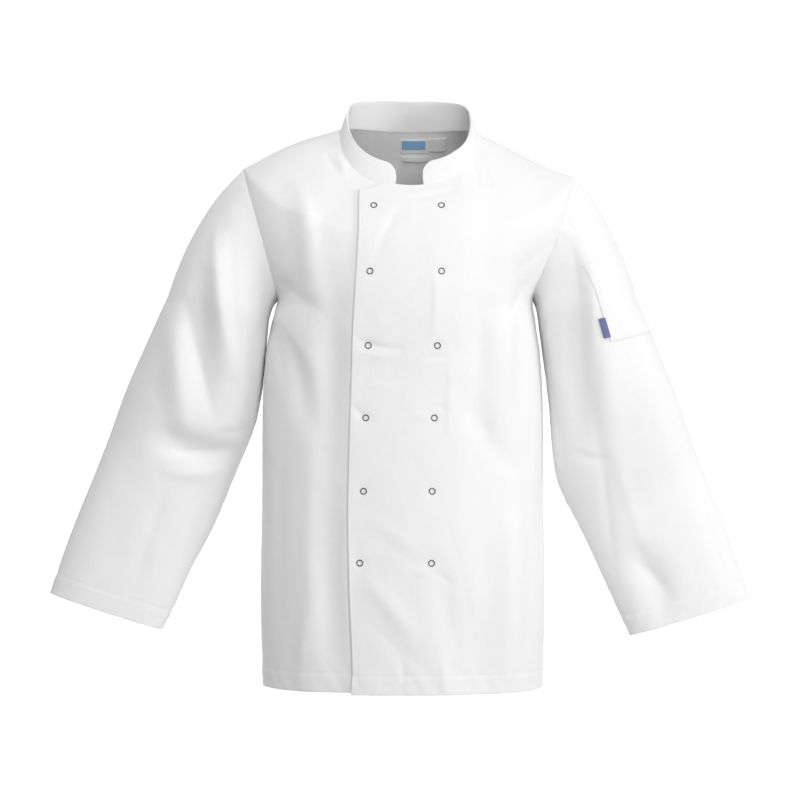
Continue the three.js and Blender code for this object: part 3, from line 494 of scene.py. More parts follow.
def crumple(points, seed):
    """A slow, uneven rise and fall, drawn out down the cloth."""
    across, along = CRUMPLE["across"], CRUMPLE["along"]
    fine_across, fine_along = CRUMPLE["fine_across"], CRUMPLE["fine_along"]
    values = [
        noise.noise(Vector((x / across, y / across + seed, z / along)))
        + CRUMPLE["fine_share"]
        * noise.noise(Vector((x / fine_across + seed, y / fine_across, z / fine_along)))
        for x, y, z in points.reshape(-1, 3)
    ]
    return CRUMPLE["height"] * np.array(values).reshape(points.shape[:-1])


def seam_shape(distance, along, phase=0.0):
    """Height beside a plain seam: the cloth dips into it and puckers a little along it."""
    wave = along / PUCKER["wave"] + phase
    ripple = np.sin(wave + 1.9 * np.sin(wave / 3.7)) * (0.6 + 0.4 * np.sin(wave / 5.3 + 1))
    return -SEAM_VALLEY * np.exp(-((distance / SEAM_WIDTH) ** 2)) + PUCKER["height"] * ripple * np.exp(
        -distance / PUCKER["fade"]
    ) * smooth(distance, 0, 2.5)


def stitched_edge(distance, along, stitch, phase=0.0):
    """Height beside a stitched edge: a thin groove at the stitching, and the hem ropes below it."""
    groove = -HEM_GROOVE * np.exp(-(((distance - stitch) / GROOVE_WIDTH) ** 2))
    wave = along / 5.2 + distance / 9 + phase
    rope = ROPE["height"] * np.sin(wave + 1.4 * np.sin(wave / 2.9))
    rope = rope * smooth(distance, stitch + ROPE["reach"], stitch - 2)
    return groove + rope * smooth(distance, 0, 3)


def reach_over(z):
    return look_up(OVERLAP, 1, z)


@functools.cache
def body_panels(hem_stitch, edge_stitch, depth):
    """Middle surfaces of the two fronts and the back, and how many lap columns a front has."""
    places = body_places(hem_stitch)
    left, lap = front_points(1, reach_over, HEM_DIP["over"], places)
    right, _ = front_points(-1, lambda z: UNDERLAP, HEM_DIP["under"], places)
    back = back_points(places)
    panels = [relax(item, SMOOTHING_ROUNDS["body"]) for item in (left, right, back)]
    normals = [find_normals(item) for item in panels]
    for front, front_column, back_column in ((0, -1, 0), (1, 0, -1)):  # seams share their normals
        mean = unit(normals[front][:, front_column] + normals[2][:, back_column])
        normals[front][:, front_column] = normals[2][:, back_column] = mean
    made = {}
    for i, name in enumerate(("front_left", "front_right", "back")):
        points, kind = panels[i], ("back" if name == "back" else "front")
        up, across = lengths_along(points, 0), lengths_along(points, 1)
        to_last, to_first = across[:, -1:] - across, across
        seam = {"front_left": to_last, "front_right": to_first, "back": np.minimum(to_first, to_last)}[name]
        height = creased(kind, points, depth) + crumple(points, 3.0 + (kind == "back") * 7)
        height *= smooth(seam, 0, FOLD_TAPER)
        height += seam_shape(seam, up, i * 1.7)
        height += stitched_edge(up, across, hem_stitch, i * 2.3)
        if name == "front_left":
            past = points[..., 0] - lean_at(points[..., 2]) - UNDERLAP
            end = np.full(len(points), float(COME_DOWN_END))
            blend = smooth(places, SHOULDER + 0.6, NECK)
            end += (COME_DOWN_AT_NECK - COME_DOWN_END) * blend
            height += LAYER_RISE * (1 - smooth(past / end[:, None], COME_DOWN_START / COME_DOWN_END, 1))
            height -= EDGE_GROOVE * np.exp(-(((to_first - edge_stitch) / GROOVE_WIDTH) ** 2))
            for z, *columns in STUD_ROWS:
                for x in columns:
                    away = np.hypot(points[..., 0] - x - lean_at(z), points[..., 2] - z)
                    height -= STUD_DIMPLE * np.exp(-((away / STUD_DIMPLE_REACH) ** 2))
        made[name] = points + normals[i] * height[..., None]
    return made, lap


def section_frame(side, tilt):
    angle = np.radians(tilt)
    zero = np.zeros_like(angle)
    return (
        np.stack([side * np.sin(angle), zero, -np.cos(angle)], -1),
        np.stack([side * np.cos(angle), zero, np.sin(angle)], -1),
    )


def section_point(sections, side, along, angle):
    x, y, z, tilt, wide, deep = (look_up(sections, i, along) for i in range(1, 7))
    out = section_frame(side, tilt)[1]
    rounded = [np.sign(v) * abs(v) ** SECTION_POWER for v in (math.cos(angle), math.sin(angle))]
    depth = np.stack([np.zeros_like(deep), -deep * rounded[1], np.zeros_like(deep)], -1)
    return np.stack([x, y, z], -1) - out * (wide * rounded[0])[..., None] + depth


def sleeve_column(side, sections, ring, rows):
    """One line down a sleeve. ring counts round it as in the CAD model, and rows are the CAD model's rows."""
    half, place = (FRONT, UNDERARM + ring / 10) if ring <= 10 else (BACK, UNDERARM + (RING - ring) / 10)
    seam = outer_point(half, place) * np.array([side, 1, 1])
    seam = settle(seam)
    angle = 2 * math.pi * ring / RING
    top = (1 - math.cos(angle)) / 2
    full = section_point(sections, side, np.array(0.0), angle)
    down, out = section_frame(side, sections[0][4])
    leave = unit(
        np.array([0, -CAP_BULGE * math.sin(angle), 0])
        + out * (CAP_OUT[0] + (CAP_OUT[1] - CAP_OUT[0]) * top)
        + down * (CAP_DOWN[0] + (CAP_DOWN[1] - CAP_DOWN[0]) * top)
    )
    handle = np.linalg.norm(full - seam) * CAP_HANDLE
    cap = bezier(seam, seam + leave * handle, full - down * handle, full)
    along = lengths_along(cap)
    in_cap = rows[rows < CAP_ROWS]
    below = rows[rows >= CAP_ROWS]
    return np.vstack([
        pick(cap, in_cap / CAP_ROWS * along[-1], along),
        section_point(sections, side, (below - CAP_ROWS) / SLEEVE_ROWS, angle),
    ])


def sleeve_points(name, cuff_stitch, depth):
    """Middle surface of a sleeve with its creases, and the CAD row and column of each of its lines."""
    side, sections = SLEEVES[name]
    step = SLEEVE_ROWS / SLEEVE_STEPS
    end = CAP_ROWS + SLEEVE_ROWS
    length = sections[0][3] - sections[-1][3]
    near = 1.5 * SLEEVE_ROWS / length
    stitch = end - cuff_stitch * SLEEVE_ROWS / length
    cap = np.linspace(0, CAP_ROWS, CAP_STEPS + 1)[:-1]
    rows = np.concatenate([cap, np.arange(CAP_ROWS, end + step / 2, step)])
    rows = rows[np.abs(rows - stitch) > 2 * near]
    rows = np.sort(np.concatenate([rows, [stitch - near, stitch, stitch + near]]))
    ring = np.linspace(RING, 0, SLEEVE_COLUMNS + 1) if side > 0 else np.linspace(0, RING, SLEEVE_COLUMNS + 1)
    points = np.stack([sleeve_column(side, sections, r, rows) for r in ring], 1)
    closed = np.concatenate([points[:, -3:-1], points, points[:, 1:3]], 1)
    closed = relax(closed, SMOOTHING_ROUNDS["sleeve"])
    points = closed[:, 2:-2]
    points[:, 0] = points[:, -1] = (points[:, 0] + points[:, -1]) / 2
    normals = find_normals(np.concatenate([points[:, -2:-1], points, points[:, 1:2]], 1))[:, 1:-1]
    down, round_it = lengths_along(points, 0), lengths_along(points, 1)
    front = smooth(-points[..., 1], -14, 14)
    faces = [creased(f"sleeve_{name}_{face}", points, depth) for face in ("front", "back")]
    height = front * faces[0] + (1 - front) * faces[1]
    height += crumple(points, 20.0 + side * 5)
    height[:, 0] = height[:, -1] = (height[:, 0] + height[:, -1]) / 2
    height *= smooth(down, 0, FOLD_TAPER)
    underarm = np.minimum(round_it, round_it[:, -1:] - round_it)
    height += seam_shape(down, round_it, side) + seam_shape(underarm, down, 4.0) * smooth(down, 6, 20)
    height += stitched_edge(down[-1:] - down, round_it, cuff_stitch, side * 3.1)
    points = points + normals * height[..., None]
    points[0] -= unit(points[1] - points[0]) * SEAM_TUCK  # the seam's turnings run under the body's edge
    return points, rows, ring


def collar_points(panels, lap):
    """Middle surface of the collar: over front's end, round the back, under front's end."""
    main = panels["front_right"].shape[1] - lap
    neckline = np.vstack([
        panels["front_left"][-1, lap:], panels["back"][-1, 1:-1], panels["front_right"][-1, :main],
    ])
    middle = (SHOULDER_SEAM[-1][1] + panels["back"][-1, BACK_COLUMNS // 2, 1]) / 4
    along = lengths_along(neckline)
    from_end = np.minimum(along, along[-1] - along)
    corner = np.maximum(COLLAR_CORNER - from_end, 0)
    cut = COLLAR_CORNER - np.sqrt(COLLAR_CORNER**2 - corner**2)
    height = look_up(COLLAR_HEIGHT, 1, from_end) - cut
    inward = np.array([0, middle, 0]) - neckline
    inward[:, 2] = 0
    up = unit(unit(inward) * COLLAR_LEAN + np.array([0, 0, 1]))
    rise = np.linspace(0, 1, COLLAR_STEPS + 1)[:, None] * np.maximum(height + SEAM_TUCK, 1) - SEAM_TUCK
    points = neckline + up * rise[..., None]
    normals = find_normals(points)
    wave = COLLAR_WAVE * np.sin(along / 34 + 1.2 * np.sin(along / 57)) * np.sin(rise / 16)
    top = height - rise
    stitch = -COLLAR_GROOVE * np.exp(-(((top - COLLAR_STITCH) / GROOVE_WIDTH) ** 2))
    return points + normals * (wave + stitch)[..., None]


def make_sheet(name, points, thickness, material, hem=None):
    """An object from a grid of points on its middle surface: a wall of cloth with softened edges."""
    rows, columns = points.shape[:2]
    bpy.ops.object.select_all(action="DESELECT")
    bpy.ops.mesh.primitive_grid_add(
        x_subdivisions=columns - 1, y_subdivisions=rows - 1, size=1, calc_uvs=True
    )
    obj = bpy.context.object
    obj.name = obj.data.name = name
    mesh = obj.data
    if len(mesh.vertices) != rows * columns:
        raise RuntimeError(f"{name}: the grid has {len(mesh.vertices)} vertices, not {rows * columns}")
    mesh.vertices.foreach_set("co", (points * MM).ravel())
    uv = np.stack([lengths_along(points, 1), lengths_along(points, 0)], -1).reshape(-1, 2) * MM
    corners = np.empty(len(mesh.loops), int)
    mesh.loops.foreach_get("vertex_index", corners)
    mesh.uv_layers.active.data.foreach_set("uv", uv[corners].ravel())
    mesh.update()
    solid = obj.modifiers.new("Wall", "SOLIDIFY")
    solid.thickness, solid.offset = thickness, 0
    if hem is not None:  # the hem's turn-up is thicker
        group = obj.vertex_groups.new(name="hem")
        for index in np.flatnonzero(hem.ravel() > 0.01):
            group.add([int(index)], float(hem.ravel()[index]), "REPLACE")
        solid.vertex_group = group.name
        solid.thickness = thickness * HEM_WALL
        solid.thickness_vertex_group = 1 / HEM_WALL
    bpy.ops.object.modifier_apply(modifier=solid.name)
    edge = obj.modifiers.new("Edge", "BEVEL")
    edge.width, edge.segments = thickness * EDGE_ROUNDING, 2
    edge.limit_method, edge.angle_limit = "ANGLE", math.radians(60)
    bpy.ops.object.modifier_apply(modifier=edge.name)
    obj.vertex_groups.clear()
    bpy.ops.object.shade_smooth_by_angle(angle=math.radians(48))
    mesh.materials.append(material)
    return obj


def finish_piece(obj, slot, *nodes):
    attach(obj, "root")
    if nodes:
        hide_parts(*nodes)
    return obj


class Surface:
    """A panel seen from the front, for placing small pieces on it."""

    def __init__(self, points):
        self.flat = points.reshape(-1, 3)

    def at(self, x, z, reach=7.0):
        """Point at this x and z, and the outward normal there, on the plane that fits the cloth round it."""
        away = self.flat - np.array([x, 0, z])
        near = away[np.hypot(away[:, 0], away[:, 2]) < reach]
        if len(near) < 6:
            raise RuntimeError(f"no cloth round x {x:.0f}, z {z:.0f}")
        weights = np.exp(-(near[:, 0] ** 2 + near[:, 2] ** 2) / reach**2)[:, None]
        across = np.stack([np.ones(len(near)), near[:, 0], near[:, 2]], -1)
        level, slope_x, slope_z = np.linalg.lstsq(across * weights, near[:, 1] * weights[:, 0], rcond=None)[0]
        normal = unit(np.array([-slope_x, 1, -slope_z]))
        return np.array([x, level, z]), normal if level > 0 else -normal


def level_line(points, distances, at, axis):
    """The line on a grid where distances, which grow along that axis, reach the value at, and its normals."""
    normals = find_normals(points)
    if axis == 1:
        points, normals, distances = (np.swapaxes(item, 0, 1) for item in (points, normals, distances))
    line = []
    for c in range(points.shape[1]):
        along = distances[:, c]
        both = np.hstack([points[:, c], normals[:, c]])
        line.append(pick(both, at, along))
    line = np.array(line)
    return line[:, :3], line[:, 3:]


def sew(name, runs, lift, material):
    """One object of many small stitches along these runs, each a line of points and its normals."""
    settings = bpy.context.scene.jacket
    pitch, length, width = (v / MM for v in (settings.stitch_pitch, settings.stitch_length, settings.thread))
    made = bmesh.new()
    for line, normals in runs:
        along = lengths_along(line)
        for at in np.arange(pitch / 2, along[-1], pitch):
            here, ahead, behind = (pick(line, at + step, along) for step in (0, 0.8, -0.8))
            normal = unit(pick(normals, at, along))
            tangent = unit(ahead - behind)
            side = unit(np.cross(normal, tangent))
            place = here + normal * lift
            matrix = Matrix([
                [
                    tangent[i] * length / 2 * MM, side[i] * width / 2 * MM,
                    normal[i] * width / 2 * MM, place[i] * MM,
                ]
                for i in range(3)
            ] + [[0, 0, 0, 1]])
            bmesh.ops.create_icosphere(made, subdivisions=1, radius=1, matrix=matrix)
    mesh = bpy.data.meshes.new(name)
    made.to_mesh(mesh)
    made.free()
    obj = bpy.data.objects.new(name, mesh)
    bpy.context.collection.objects.link(obj)
    mesh.shade_smooth()
    mesh.materials.append(material)
    return finish_piece(obj, "white_twill")


def between(points, normals, rows, columns, row, column):
    """Point and normal of a grid where its rows and columns have these values."""
    r, c = np.interp(row, rows, np.arange(len(rows))), np.interp(column, columns, np.arange(len(columns)))
    i, j = np.minimum(int(r), len(rows) - 2), np.minimum(int(c), len(columns) - 2)
    u, v = r - i, c - j

    def blend(grid):
        upper = grid[i, j] * (1 - v) + grid[i, j + 1] * v
        lower = grid[i + 1, j] * (1 - v) + grid[i + 1, j + 1] * v
        return upper * (1 - u) + lower * u

    return blend(points), unit(blend(normals))


def patch_on(base, row_span, column_span, counts, lift, slope=0):
    """A layer on a sleeve, over spans of the CAD model's rows and columns, its top slanting by slope rows."""
    points, rows, ring = base
    normals = find_normals(points)
    columns = RING - ring if ring[0] > ring[-1] else ring
    up, across = (np.linspace(0, 1, count + 1) for count in counts)
    row_line = np.linspace(*row_span[::-1], counts[0] + 1)
    column_line = np.linspace(*column_span, counts[1] + 1)
    spots = [
        [
            between(points, normals, rows, columns, row - slope * rise * share, column)
            for share, column in zip(across, column_line)
        ]
        for rise, row in zip(up, row_line)
    ]
    flat = np.array([[point for point, _ in line] for line in spots])
    facing = np.array([[normal for _, normal in line] for line in spots])
    height = lift(up[:, None], across[None, :]) + np.zeros(flat.shape[:2])
    return flat + facing * height[..., None]


def new_group(name, outputs, inputs=()):
    group = bpy.data.node_groups.new(name, "ShaderNodeTree")
    for label, default in inputs:
        socket = group.interface.new_socket(label, in_out="INPUT", socket_type="NodeSocketFloat")
        socket.default_value = default
    for label, kind in outputs:
        group.interface.new_socket(label, in_out="OUTPUT", socket_type=kind)
    return group, group.nodes.new("NodeGroupInput"), group.nodes.new("NodeGroupOutput")


def add_math(group, operation, first, second=None):
    node = group.nodes.new("ShaderNodeMath")
    node.operation = operation
    for socket, value in zip(node.inputs, (first, second)):
        if isinstance(value, bpy.types.NodeSocket):
            group.links.new(value, socket)
        elif value is not None:
            socket.default_value = value
    return node.outputs[0]


def weave_group():
    """Fine twill lines, thread fuzz and faint unevenness, as a tint and a normal."""
    group, given, out = new_group(
        "Twill weave", [("Tint", "NodeSocketColor"), ("Normal", "NodeSocketVector")],
        [("Pitch", 0.0009), ("Depth", 0.00005)],
    )
    uv = group.nodes.new("ShaderNodeUVMap")
    split = group.nodes.new("ShaderNodeSeparateXYZ")
    group.links.new(uv.outputs["UV"], split.inputs[0])
    turns = add_math(group, "DIVIDE", 2 * math.pi, given.outputs["Pitch"])
    diagonal = add_math(group, "ADD", split.outputs["X"], split.outputs["Y"])
    twill = add_math(group, "SINE", add_math(group, "MULTIPLY", diagonal, turns))
    place = group.nodes.new("ShaderNodeTexCoord")
    fuzz = group.nodes.new("ShaderNodeTexNoise")
    fuzz.inputs["Scale"].default_value = 900
    fuzz.inputs["Detail"].default_value = 2
    group.links.new(place.outputs["Object"], fuzz.inputs["Vector"])
    soft = group.nodes.new("ShaderNodeTexNoise")
    soft.inputs["Scale"].default_value = 38
    soft.inputs["Detail"].default_value = 3
    group.links.new(place.outputs["Object"], soft.inputs["Vector"])
    height = add_math(group, "ADD", add_math(group, "MULTIPLY", twill, 0.5), fuzz.outputs["Fac"])
    wide = group.nodes.new("ShaderNodeBump")
    wide.inputs["Strength"].default_value = 0.7
    wide.inputs["Distance"].default_value = 0.0012
    group.links.new(soft.outputs["Fac"], wide.inputs["Height"])
    fine = group.nodes.new("ShaderNodeBump")
    fine.inputs["Strength"].default_value = 0.6
    group.links.new(given.outputs["Depth"], fine.inputs["Distance"])
    group.links.new(height, fine.inputs["Height"])
    group.links.new(wide.outputs["Normal"], fine.inputs["Normal"])
    ramp = group.nodes.new("ShaderNodeMapRange")
    ramp.inputs["To Min"].default_value = 0.965
    group.links.new(fuzz.outputs["Fac"], ramp.inputs["Value"])
    group.links.new(ramp.outputs["Result"], out.inputs["Tint"])
    group.links.new(fine.outputs["Normal"], out.inputs["Normal"])
    return group


def fabric(name, colour, weave, pitch, depth, roughness=0.85, sheen=0.15):
    material = bpy.data.materials.new(name)
    material.use_nodes = True
    tree = material.node_tree
    shader = tree.nodes["Principled BSDF"]
    shader.inputs["Roughness"].default_value = roughness
    shader.inputs["Sheen Weight"].default_value = sheen
    shader.inputs["Sheen Roughness"].default_value = 0.5
    shader.inputs["Specular IOR Level"].default_value = 0.3
    group = tree.nodes.new("ShaderNodeGroup")
    group.node_tree = weave
    group.inputs["Pitch"].default_value = pitch
    group.inputs["Depth"].default_value = depth
    mix = tree.nodes.new("ShaderNodeMix")
    mix.data_type, mix.blend_type = "RGBA", "MULTIPLY"
    mix.inputs["Factor"].default_value = 1
    colours = [s for s in mix.inputs if s.type == "RGBA"]
    colours[0].default_value = (*colour, 1)
    tree.links.new(group.outputs["Tint"], colours[1])
    tree.links.new([s for s in mix.outputs if s.type == "RGBA"][0], shader.inputs["Base Color"])
    tree.links.new(group.outputs["Normal"], shader.inputs["Normal"])
    return material


def plain_material(name, colour, roughness, metallic=0.0):
    material = bpy.data.materials.new(name)
    material.use_nodes = True
    shader = material.node_tree.nodes["Principled BSDF"]
    shader.inputs["Base Color"].default_value = (*colour, 1)
    shader.inputs["Roughness"].default_value = roughness
    shader.inputs["Metallic"].default_value = metallic
    return material


def glow(studio):
    """Lights up the backdrop, and not the floor under the jacket."""
    tree = studio.node_tree
    shader = tree.nodes["Principled BSDF"]
    shader.inputs["Emission Color"].default_value = (1, 1, 1, 1)
    place = tree.nodes.new("ShaderNodeTexCoord")
    split = tree.nodes.new("ShaderNodeSeparateXYZ")
    rise = tree.nodes.new("ShaderNodeMapRange")
    rise.inputs["From Min"].default_value = GLOW["starts"]
    rise.inputs["From Max"].default_value = GLOW["full"]
    rise.inputs["To Max"].default_value = GLOW["strength"]
    tree.links.new(place.outputs["Object"], split.inputs[0])
    tree.links.new(split.outputs["Y"], rise.inputs["Value"])
    tree.links.new(rise.outputs["Result"], shader.inputs["Emission Strength"])


def material(name):
    """The named material, made the first time it is asked for."""
    if name in bpy.data.materials:
        return bpy.data.materials[name]
    if name in ("nickel", "studio"):
        look = {"nickel": ((0.11, 0.113, 0.12), 0.22, 1.0), "studio": ((0.55, 0.55, 0.55), 0.9)}[name]
        made = plain_material(name, *look)
        if name == "studio":
            glow(made)
        return made
    weave = bpy.data.node_groups.get("Twill weave") or weave_group()
    looks = {
        "white_cloth": ((0.86, 0.86, 0.865), 0.0009, 0.00005),
        "navy_tape": ((0.012, 0.022, 0.07), 0.0012, 0.00008, 0.85, 0.02),
        "blue_label": ((0.03, 0.15, 0.50), 0.0006, 0.00004, 0.6, 0.05),
        "white_tape": ((0.85, 0.85, 0.84), 0.0006, 0.00004, 0.6),
        "thread": ((0.88, 0.88, 0.88), 0.0005, 0.00004, 0.7),
    }
    colour, pitch, depth, *more = looks[name]
    return fabric(name, colour, weave, pitch, depth, *more)


class JacketSettings(bpy.types.PropertyGroup):
    cloth: FloatProperty(
        name="Cloth", description="Wall of the body and sleeves",
        default=0.0016, unit="LENGTH", subtype="DISTANCE",
    )
    collar_cloth: FloatProperty(
        name="Collar", description="Wall of the collar",
        default=0.0024, unit="LENGTH", subtype="DISTANCE",
    )
    patch_cloth: FloatProperty(
        name="Patches", description="Wall of the pocket and tapes",
        default=0.0012, unit="LENGTH", subtype="DISTANCE",
    )
    creases: FloatProperty(
        name="Creases", description="Depth of the finer creases",
        default=1.0, min=0, max=2,
    )
    hem: FloatProperty(
        name="Hem", description="Edge to the hem's stitching",
        default=0.025, unit="LENGTH", subtype="DISTANCE",
    )
    cuff: FloatProperty(
        name="Cuff", description="Edge to the cuff's stitching",
        default=0.027, unit="LENGTH", subtype="DISTANCE",
    )
    edge_stitch: FloatProperty(
        name="Edge stitching", description="Front and collar edges to their stitching",
        default=0.005, unit="LENGTH", subtype="DISTANCE",
    )
    stitch_pitch: FloatProperty(
        name="Stitch pitch", description="From one stitch to the next",
        default=0.003, unit="LENGTH", subtype="DISTANCE",
    )
    stitch_length: FloatProperty(
        name="Stitch length", description="Length of a stitch",
        default=0.0026, unit="LENGTH", subtype="DISTANCE",
    )
    thread: FloatProperty(
        name="Thread", description="Thickness of the thread",
        default=0.0005, unit="LENGTH", subtype="DISTANCE",
    )
    stud_radius: FloatProperty(
        name="Stud", description="Outer radius of a stud's ring",
        default=0.0046, unit="LENGTH", subtype="DISTANCE",
    )
    stud_band: FloatProperty(
        name="Stud band", description="Width of a stud's ring",
        default=0.0014, unit="LENGTH", subtype="DISTANCE",
    )


class JACKET_OT_body(bpy.types.Operator):
    """Makes the two fronts, the back and the collar with their stitching"""

    bl_idname = "jacket.body"
    bl_label = "Body and collar"

    def execute(self, context):
        settings = context.scene.jacket
        hem, edge = settings.hem / MM, settings.edge_stitch / MM
        panels, lap = body_panels(hem, edge, settings.creases)
        cloth, thread = material("white_cloth"), material("thread")
        lift = settings.cloth / MM / 2 + THREAD_LIFT
        objects = {}
        for name, points in panels.items():
            up = lengths_along(points, 0)
            turn_up = smooth(up, hem + 1, hem - 1)
            objects[name] = make_sheet(name + "_cloth", points, settings.cloth, cloth, turn_up)
            finish_piece(objects[name], "white_twill", name)
        runs = {}
        for name, points in panels.items():
            runs[name] = [level_line(points, lengths_along(points, 0), hem, 0)]
        left = panels["front_left"]
        runs["front_left"].append(level_line(left, lengths_along(left, 1), edge, 1))
        for name in panels:
            stitches = sew(name + "_stitches", runs[name], lift, thread)
        points = collar_points(panels, lap)
        collar = make_sheet("collar_cloth", points, settings.collar_cloth, cloth)
        finish_piece(collar, "white_twill", "collar")
        from_top = lengths_along(points[::-1], 0)
        line = level_line(points[::-1], from_top, edge, 0)
        line = (line[0], -line[1])
        stitches = sew("collar_stitches", [line], settings.collar_cloth / MM / 2 + THREAD_LIFT, thread)
        return {"FINISHED"}


class JACKET_OT_sleeves(bpy.types.Operator):
    """Makes both sleeves, and on the wearer's left one the pen pocket and its tab"""

    bl_idname = "jacket.sleeves"
    bl_label = "Sleeves and pocket"

    def execute(self, context):
        settings = context.scene.jacket
        cuff = settings.cuff / MM
        cloth, thread = material("white_cloth"), material("thread")
        lift = settings.cloth / MM / 2 + THREAD_LIFT
        for name in SLEEVES:
            made = sleeve_points(name, cuff, settings.creases)
            points = made[0]
            from_cuff = lengths_along(points[::-1], 0)
            hem = smooth(from_cuff[::-1], cuff + 1, cuff - 1)
            obj = make_sheet(f"sleeve_{name}_cloth", points, settings.cloth, cloth, hem)
            finish_piece(obj, "white_twill", f"sleeve_{name}")
            line, normals = level_line(points[::-1], from_cuff, cuff, 0)
            pieces = [sew(f"sleeve_{name}_stitches", [(line, -normals)], lift, thread)]
            if name == "left":
                pieces += self.pocket(made, settings, cloth, thread)
        return {"FINISHED"}

    def pocket(self, base, settings, cloth, thread):
        patch = settings.patch_cloth / MM
        on_top = settings.cloth / MM / 2 + LAYER_GAP + patch / 2

        def pocket_lift(up, across):
            bulge = POCKET_PUFF * np.sin(math.pi * across) ** 0.7 * np.sin(math.pi * np.clip(up * 0.5, 0, 1))
            return on_top - POCKET_SINK + bulge

        def tab_lift(up, across):
            return on_top + TAB_LIFT + TAB_PUFF * np.sin(math.pi * across)

        points = patch_on(base, POCKET_ROWS, POCKET_COLUMNS, (52, 44), pocket_lift, POCKET_SLOPE)
        obj = make_sheet("sleeve_pocket_cloth", points, settings.patch_cloth, cloth)
        finish_piece(obj, "white_twill", "sleeve_pocket")
        runs = [level_line(points, lengths_along(points, 0), POCKET_STITCH, 0)]
        runs.append(level_line(points, lengths_along(points, 1), POCKET_STITCH, 1))
        flipped = points[:, ::-1]
        line, normals = level_line(flipped, lengths_along(flipped, 1), POCKET_STITCH, 1)
        runs.append((line, -normals))
        upside = points[::-1]
        line, normals = level_line(upside, lengths_along(upside, 0), MOUTH_STITCH, 0)
        runs.append((line, -normals))
        stitches = sew("sleeve_pocket_stitches", runs, patch / 2 + THREAD_LIFT, thread)
        points = patch_on(base, TAB_ROWS, TAB_COLUMNS, (14, 8), tab_lift)
        tab = make_sheet("pocket_tab_tape", points, settings.patch_cloth, material("navy_tape"))
        finish_piece(tab, "navy_tape", "pocket_tab")
        return [obj, stitches, tab]


class JACKET_OT_tapes(bpy.types.Operator):
    """Makes the bare labels and the hanger loop inside the back neck"""

    bl_idname = "jacket.tapes"
    bl_label = "Labels and loop"

    def execute(self, context):
        settings = context.scene.jacket
        panels, _ = body_panels(settings.hem / MM, settings.edge_stitch / MM, settings.creases)
        surface = Surface(panels["back"][-60:])
        shares = np.linspace(0, 1, 17)
        for name, (left, width, top, height, lift, bow, look) in TAPES.items():
            rows = []
            for z in np.linspace(top - height, top, 9):
                spots = [surface.at(left + width * share, z) for share in shares]
                depth = settings.cloth / MM / 2 + lift + settings.patch_cloth / MM / 4
                rows.append([
                    point - normal * (depth + bow * math.sin(math.pi * share))
                    for (point, normal), share in zip(spots, shares)
                ])
            points = np.array(rows)[:, ::-1]
            obj = make_sheet(name + "_tape", points, settings.patch_cloth / 2, material(look))
            nodes = [] if name == "label_base" else [name]
            finish_piece(obj, "blue_label" if look == "blue_label" else "white_label", *nodes)
        return {"FINISHED"}


class JACKET_OT_studs(bpy.types.Operator):
    """Makes the twelve ring press studs"""

    bl_idname = "jacket.studs"
    bl_label = "Press studs"

    def execute(self, context):
        settings = context.scene.jacket
        panels, _ = body_panels(settings.hem / MM, settings.edge_stitch / MM, settings.creases)
        surface = Surface(panels["front_left"])
        for i in range(len(STUD_ROWS)):
            for side in ("right", "left"):
                node = f"stud_{side}_{i + 1}"
                low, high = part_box(node)
                middle = (low + high) / 2 / MM
                point, normal = surface.at(middle.x, middle.z, 5.0)
                centre = point + normal * (settings.cloth / MM / 2 + STUD_LIFT)
                obj = self.ring(node + "_ring", centre, normal, settings)
                finish_piece(obj, "stud_steel", node)
        return {"FINISHED"}

    def ring(self, name, centre, normal, settings):
        bpy.ops.object.select_all(action="DESELECT")
        band = settings.stud_band / 2
        bpy.ops.mesh.primitive_torus_add(
            major_segments=40, minor_segments=12, major_radius=settings.stud_radius - band, minor_radius=band
        )
        obj = bpy.context.object
        obj.name = obj.data.name = name
        turn = Vector(normal).to_track_quat("Z", "Y").to_matrix().to_4x4()
        obj.data.transform(Matrix.Translation(Vector(centre) * MM) @ turn)
        bpy.ops.object.shade_smooth()
        obj.data.materials.append(material("nickel"))
        return obj


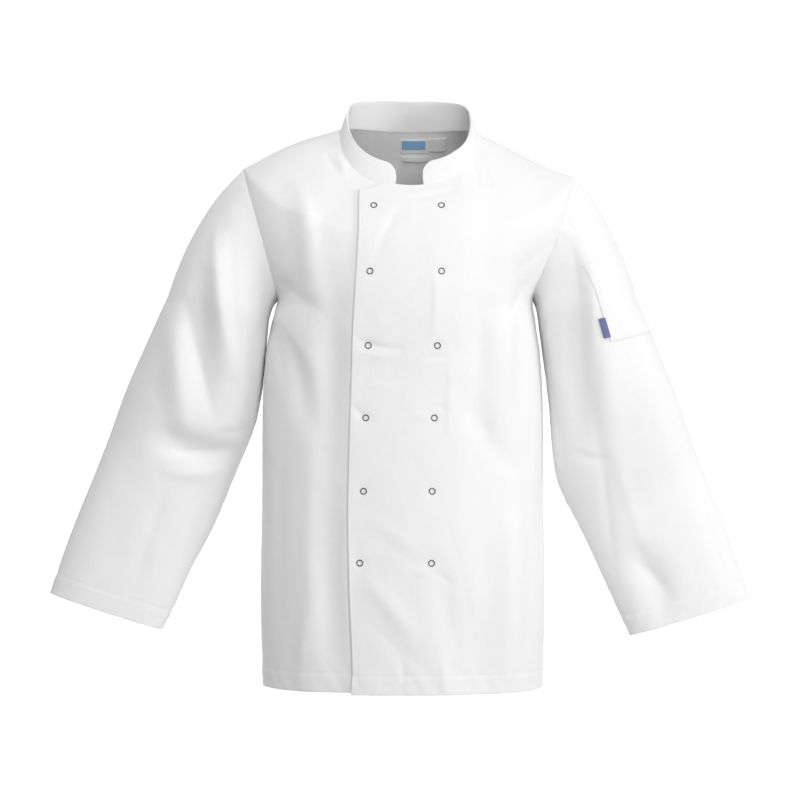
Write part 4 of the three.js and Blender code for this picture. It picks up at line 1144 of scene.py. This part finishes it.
class JACKET_OT_stage(bpy.types.Operator):
    """Makes the floor with its backdrop, the lights and the camera"""

    bl_idname = "jacket.stage"
    bl_label = "Studio"

    def execute(self, context):
        floor, wall, bend, across = (STAGE[key] for key in ("floor", "wall", "bend", "across"))
        angles = np.linspace(0, math.pi / 2, 17)
        profile = [(STAGE["near_end"], floor)]
        profile += [(wall - bend + bend * math.sin(a), floor + bend - bend * math.cos(a)) for a in angles]
        profile.append((wall, STAGE["top"]))
        bpy.ops.object.select_all(action="DESELECT")
        bpy.ops.mesh.primitive_grid_add(x_subdivisions=1, y_subdivisions=len(profile) - 1, size=1)
        stage = bpy.context.object
        stage.name = "studio_sweep"
        places = [(x, y, z) for y, z in profile for x in (-across, across)]
        stage.data.vertices.foreach_set("co", np.array(places).ravel())
        bpy.ops.object.shade_smooth()
        stage.data.materials.append(material("studio"))
        for name, place, aim, size, watts in LAMPS:
            lamp = bpy.data.lights.new(name, "AREA")
            lamp.size, lamp.energy = size, watts
            light = bpy.data.objects.new(name, lamp)
            light.location = place
            light.rotation_euler = (Vector(aim) - Vector(place)).to_track_quat("-Z", "Y").to_euler()
            context.collection.objects.link(light)
        world = bpy.data.worlds.new("studio")
        world.use_nodes = True
        world.node_tree.nodes["Background"].inputs["Color"].default_value = SURROUND_COLOUR
        world.node_tree.nodes["Background"].inputs["Strength"].default_value = SURROUND_STRENGTH
        context.scene.world = world
        context.scene.view_settings.view_transform = "Standard"
        camera = bpy.data.cameras.new("photo")
        camera.lens, camera.sensor_width = CAMERA_LENS, CAMERA_SENSOR
        camera.clip_end = 50
        eye = bpy.data.objects.new("photo", camera)
        eye.location = CAMERA_PLACE
        eye.rotation_euler = (math.pi / 2, 0, 0)
        context.collection.objects.link(eye)
        context.scene.camera = eye
        return {"FINISHED"}


class JACKET_PT_panel(bpy.types.Panel):
    bl_label = "Chef jacket"
    bl_idname = "JACKET_PT_panel"
    bl_space_type = "VIEW_3D"
    bl_region_type = "UI"
    bl_category = "Chef jacket"

    def draw(self, context):
        for name in JacketSettings.__annotations__:
            self.layout.prop(context.scene.jacket, name)
        for operator in OPERATORS:
            self.layout.operator(operator.bl_idname)


OPERATORS = (JACKET_OT_body, JACKET_OT_sleeves, JACKET_OT_tapes, JACKET_OT_studs, JACKET_OT_stage)
CLASSES = (JacketSettings, *OPERATORS, JACKET_PT_panel)


def register():
    for item in CLASSES:
        bpy.utils.register_class(item)
    bpy.types.Scene.jacket = PointerProperty(type=JacketSettings)


def unregister():
    del bpy.types.Scene.jacket
    for item in reversed(CLASSES):
        bpy.utils.unregister_class(item)


def main():
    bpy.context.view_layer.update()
    register()
    bpy.ops.jacket.body()
    bpy.ops.jacket.sleeves()
    bpy.ops.jacket.tapes()
    bpy.ops.jacket.studs()
    bpy.ops.jacket.stage()
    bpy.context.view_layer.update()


if __name__ == "__main__":
    main()
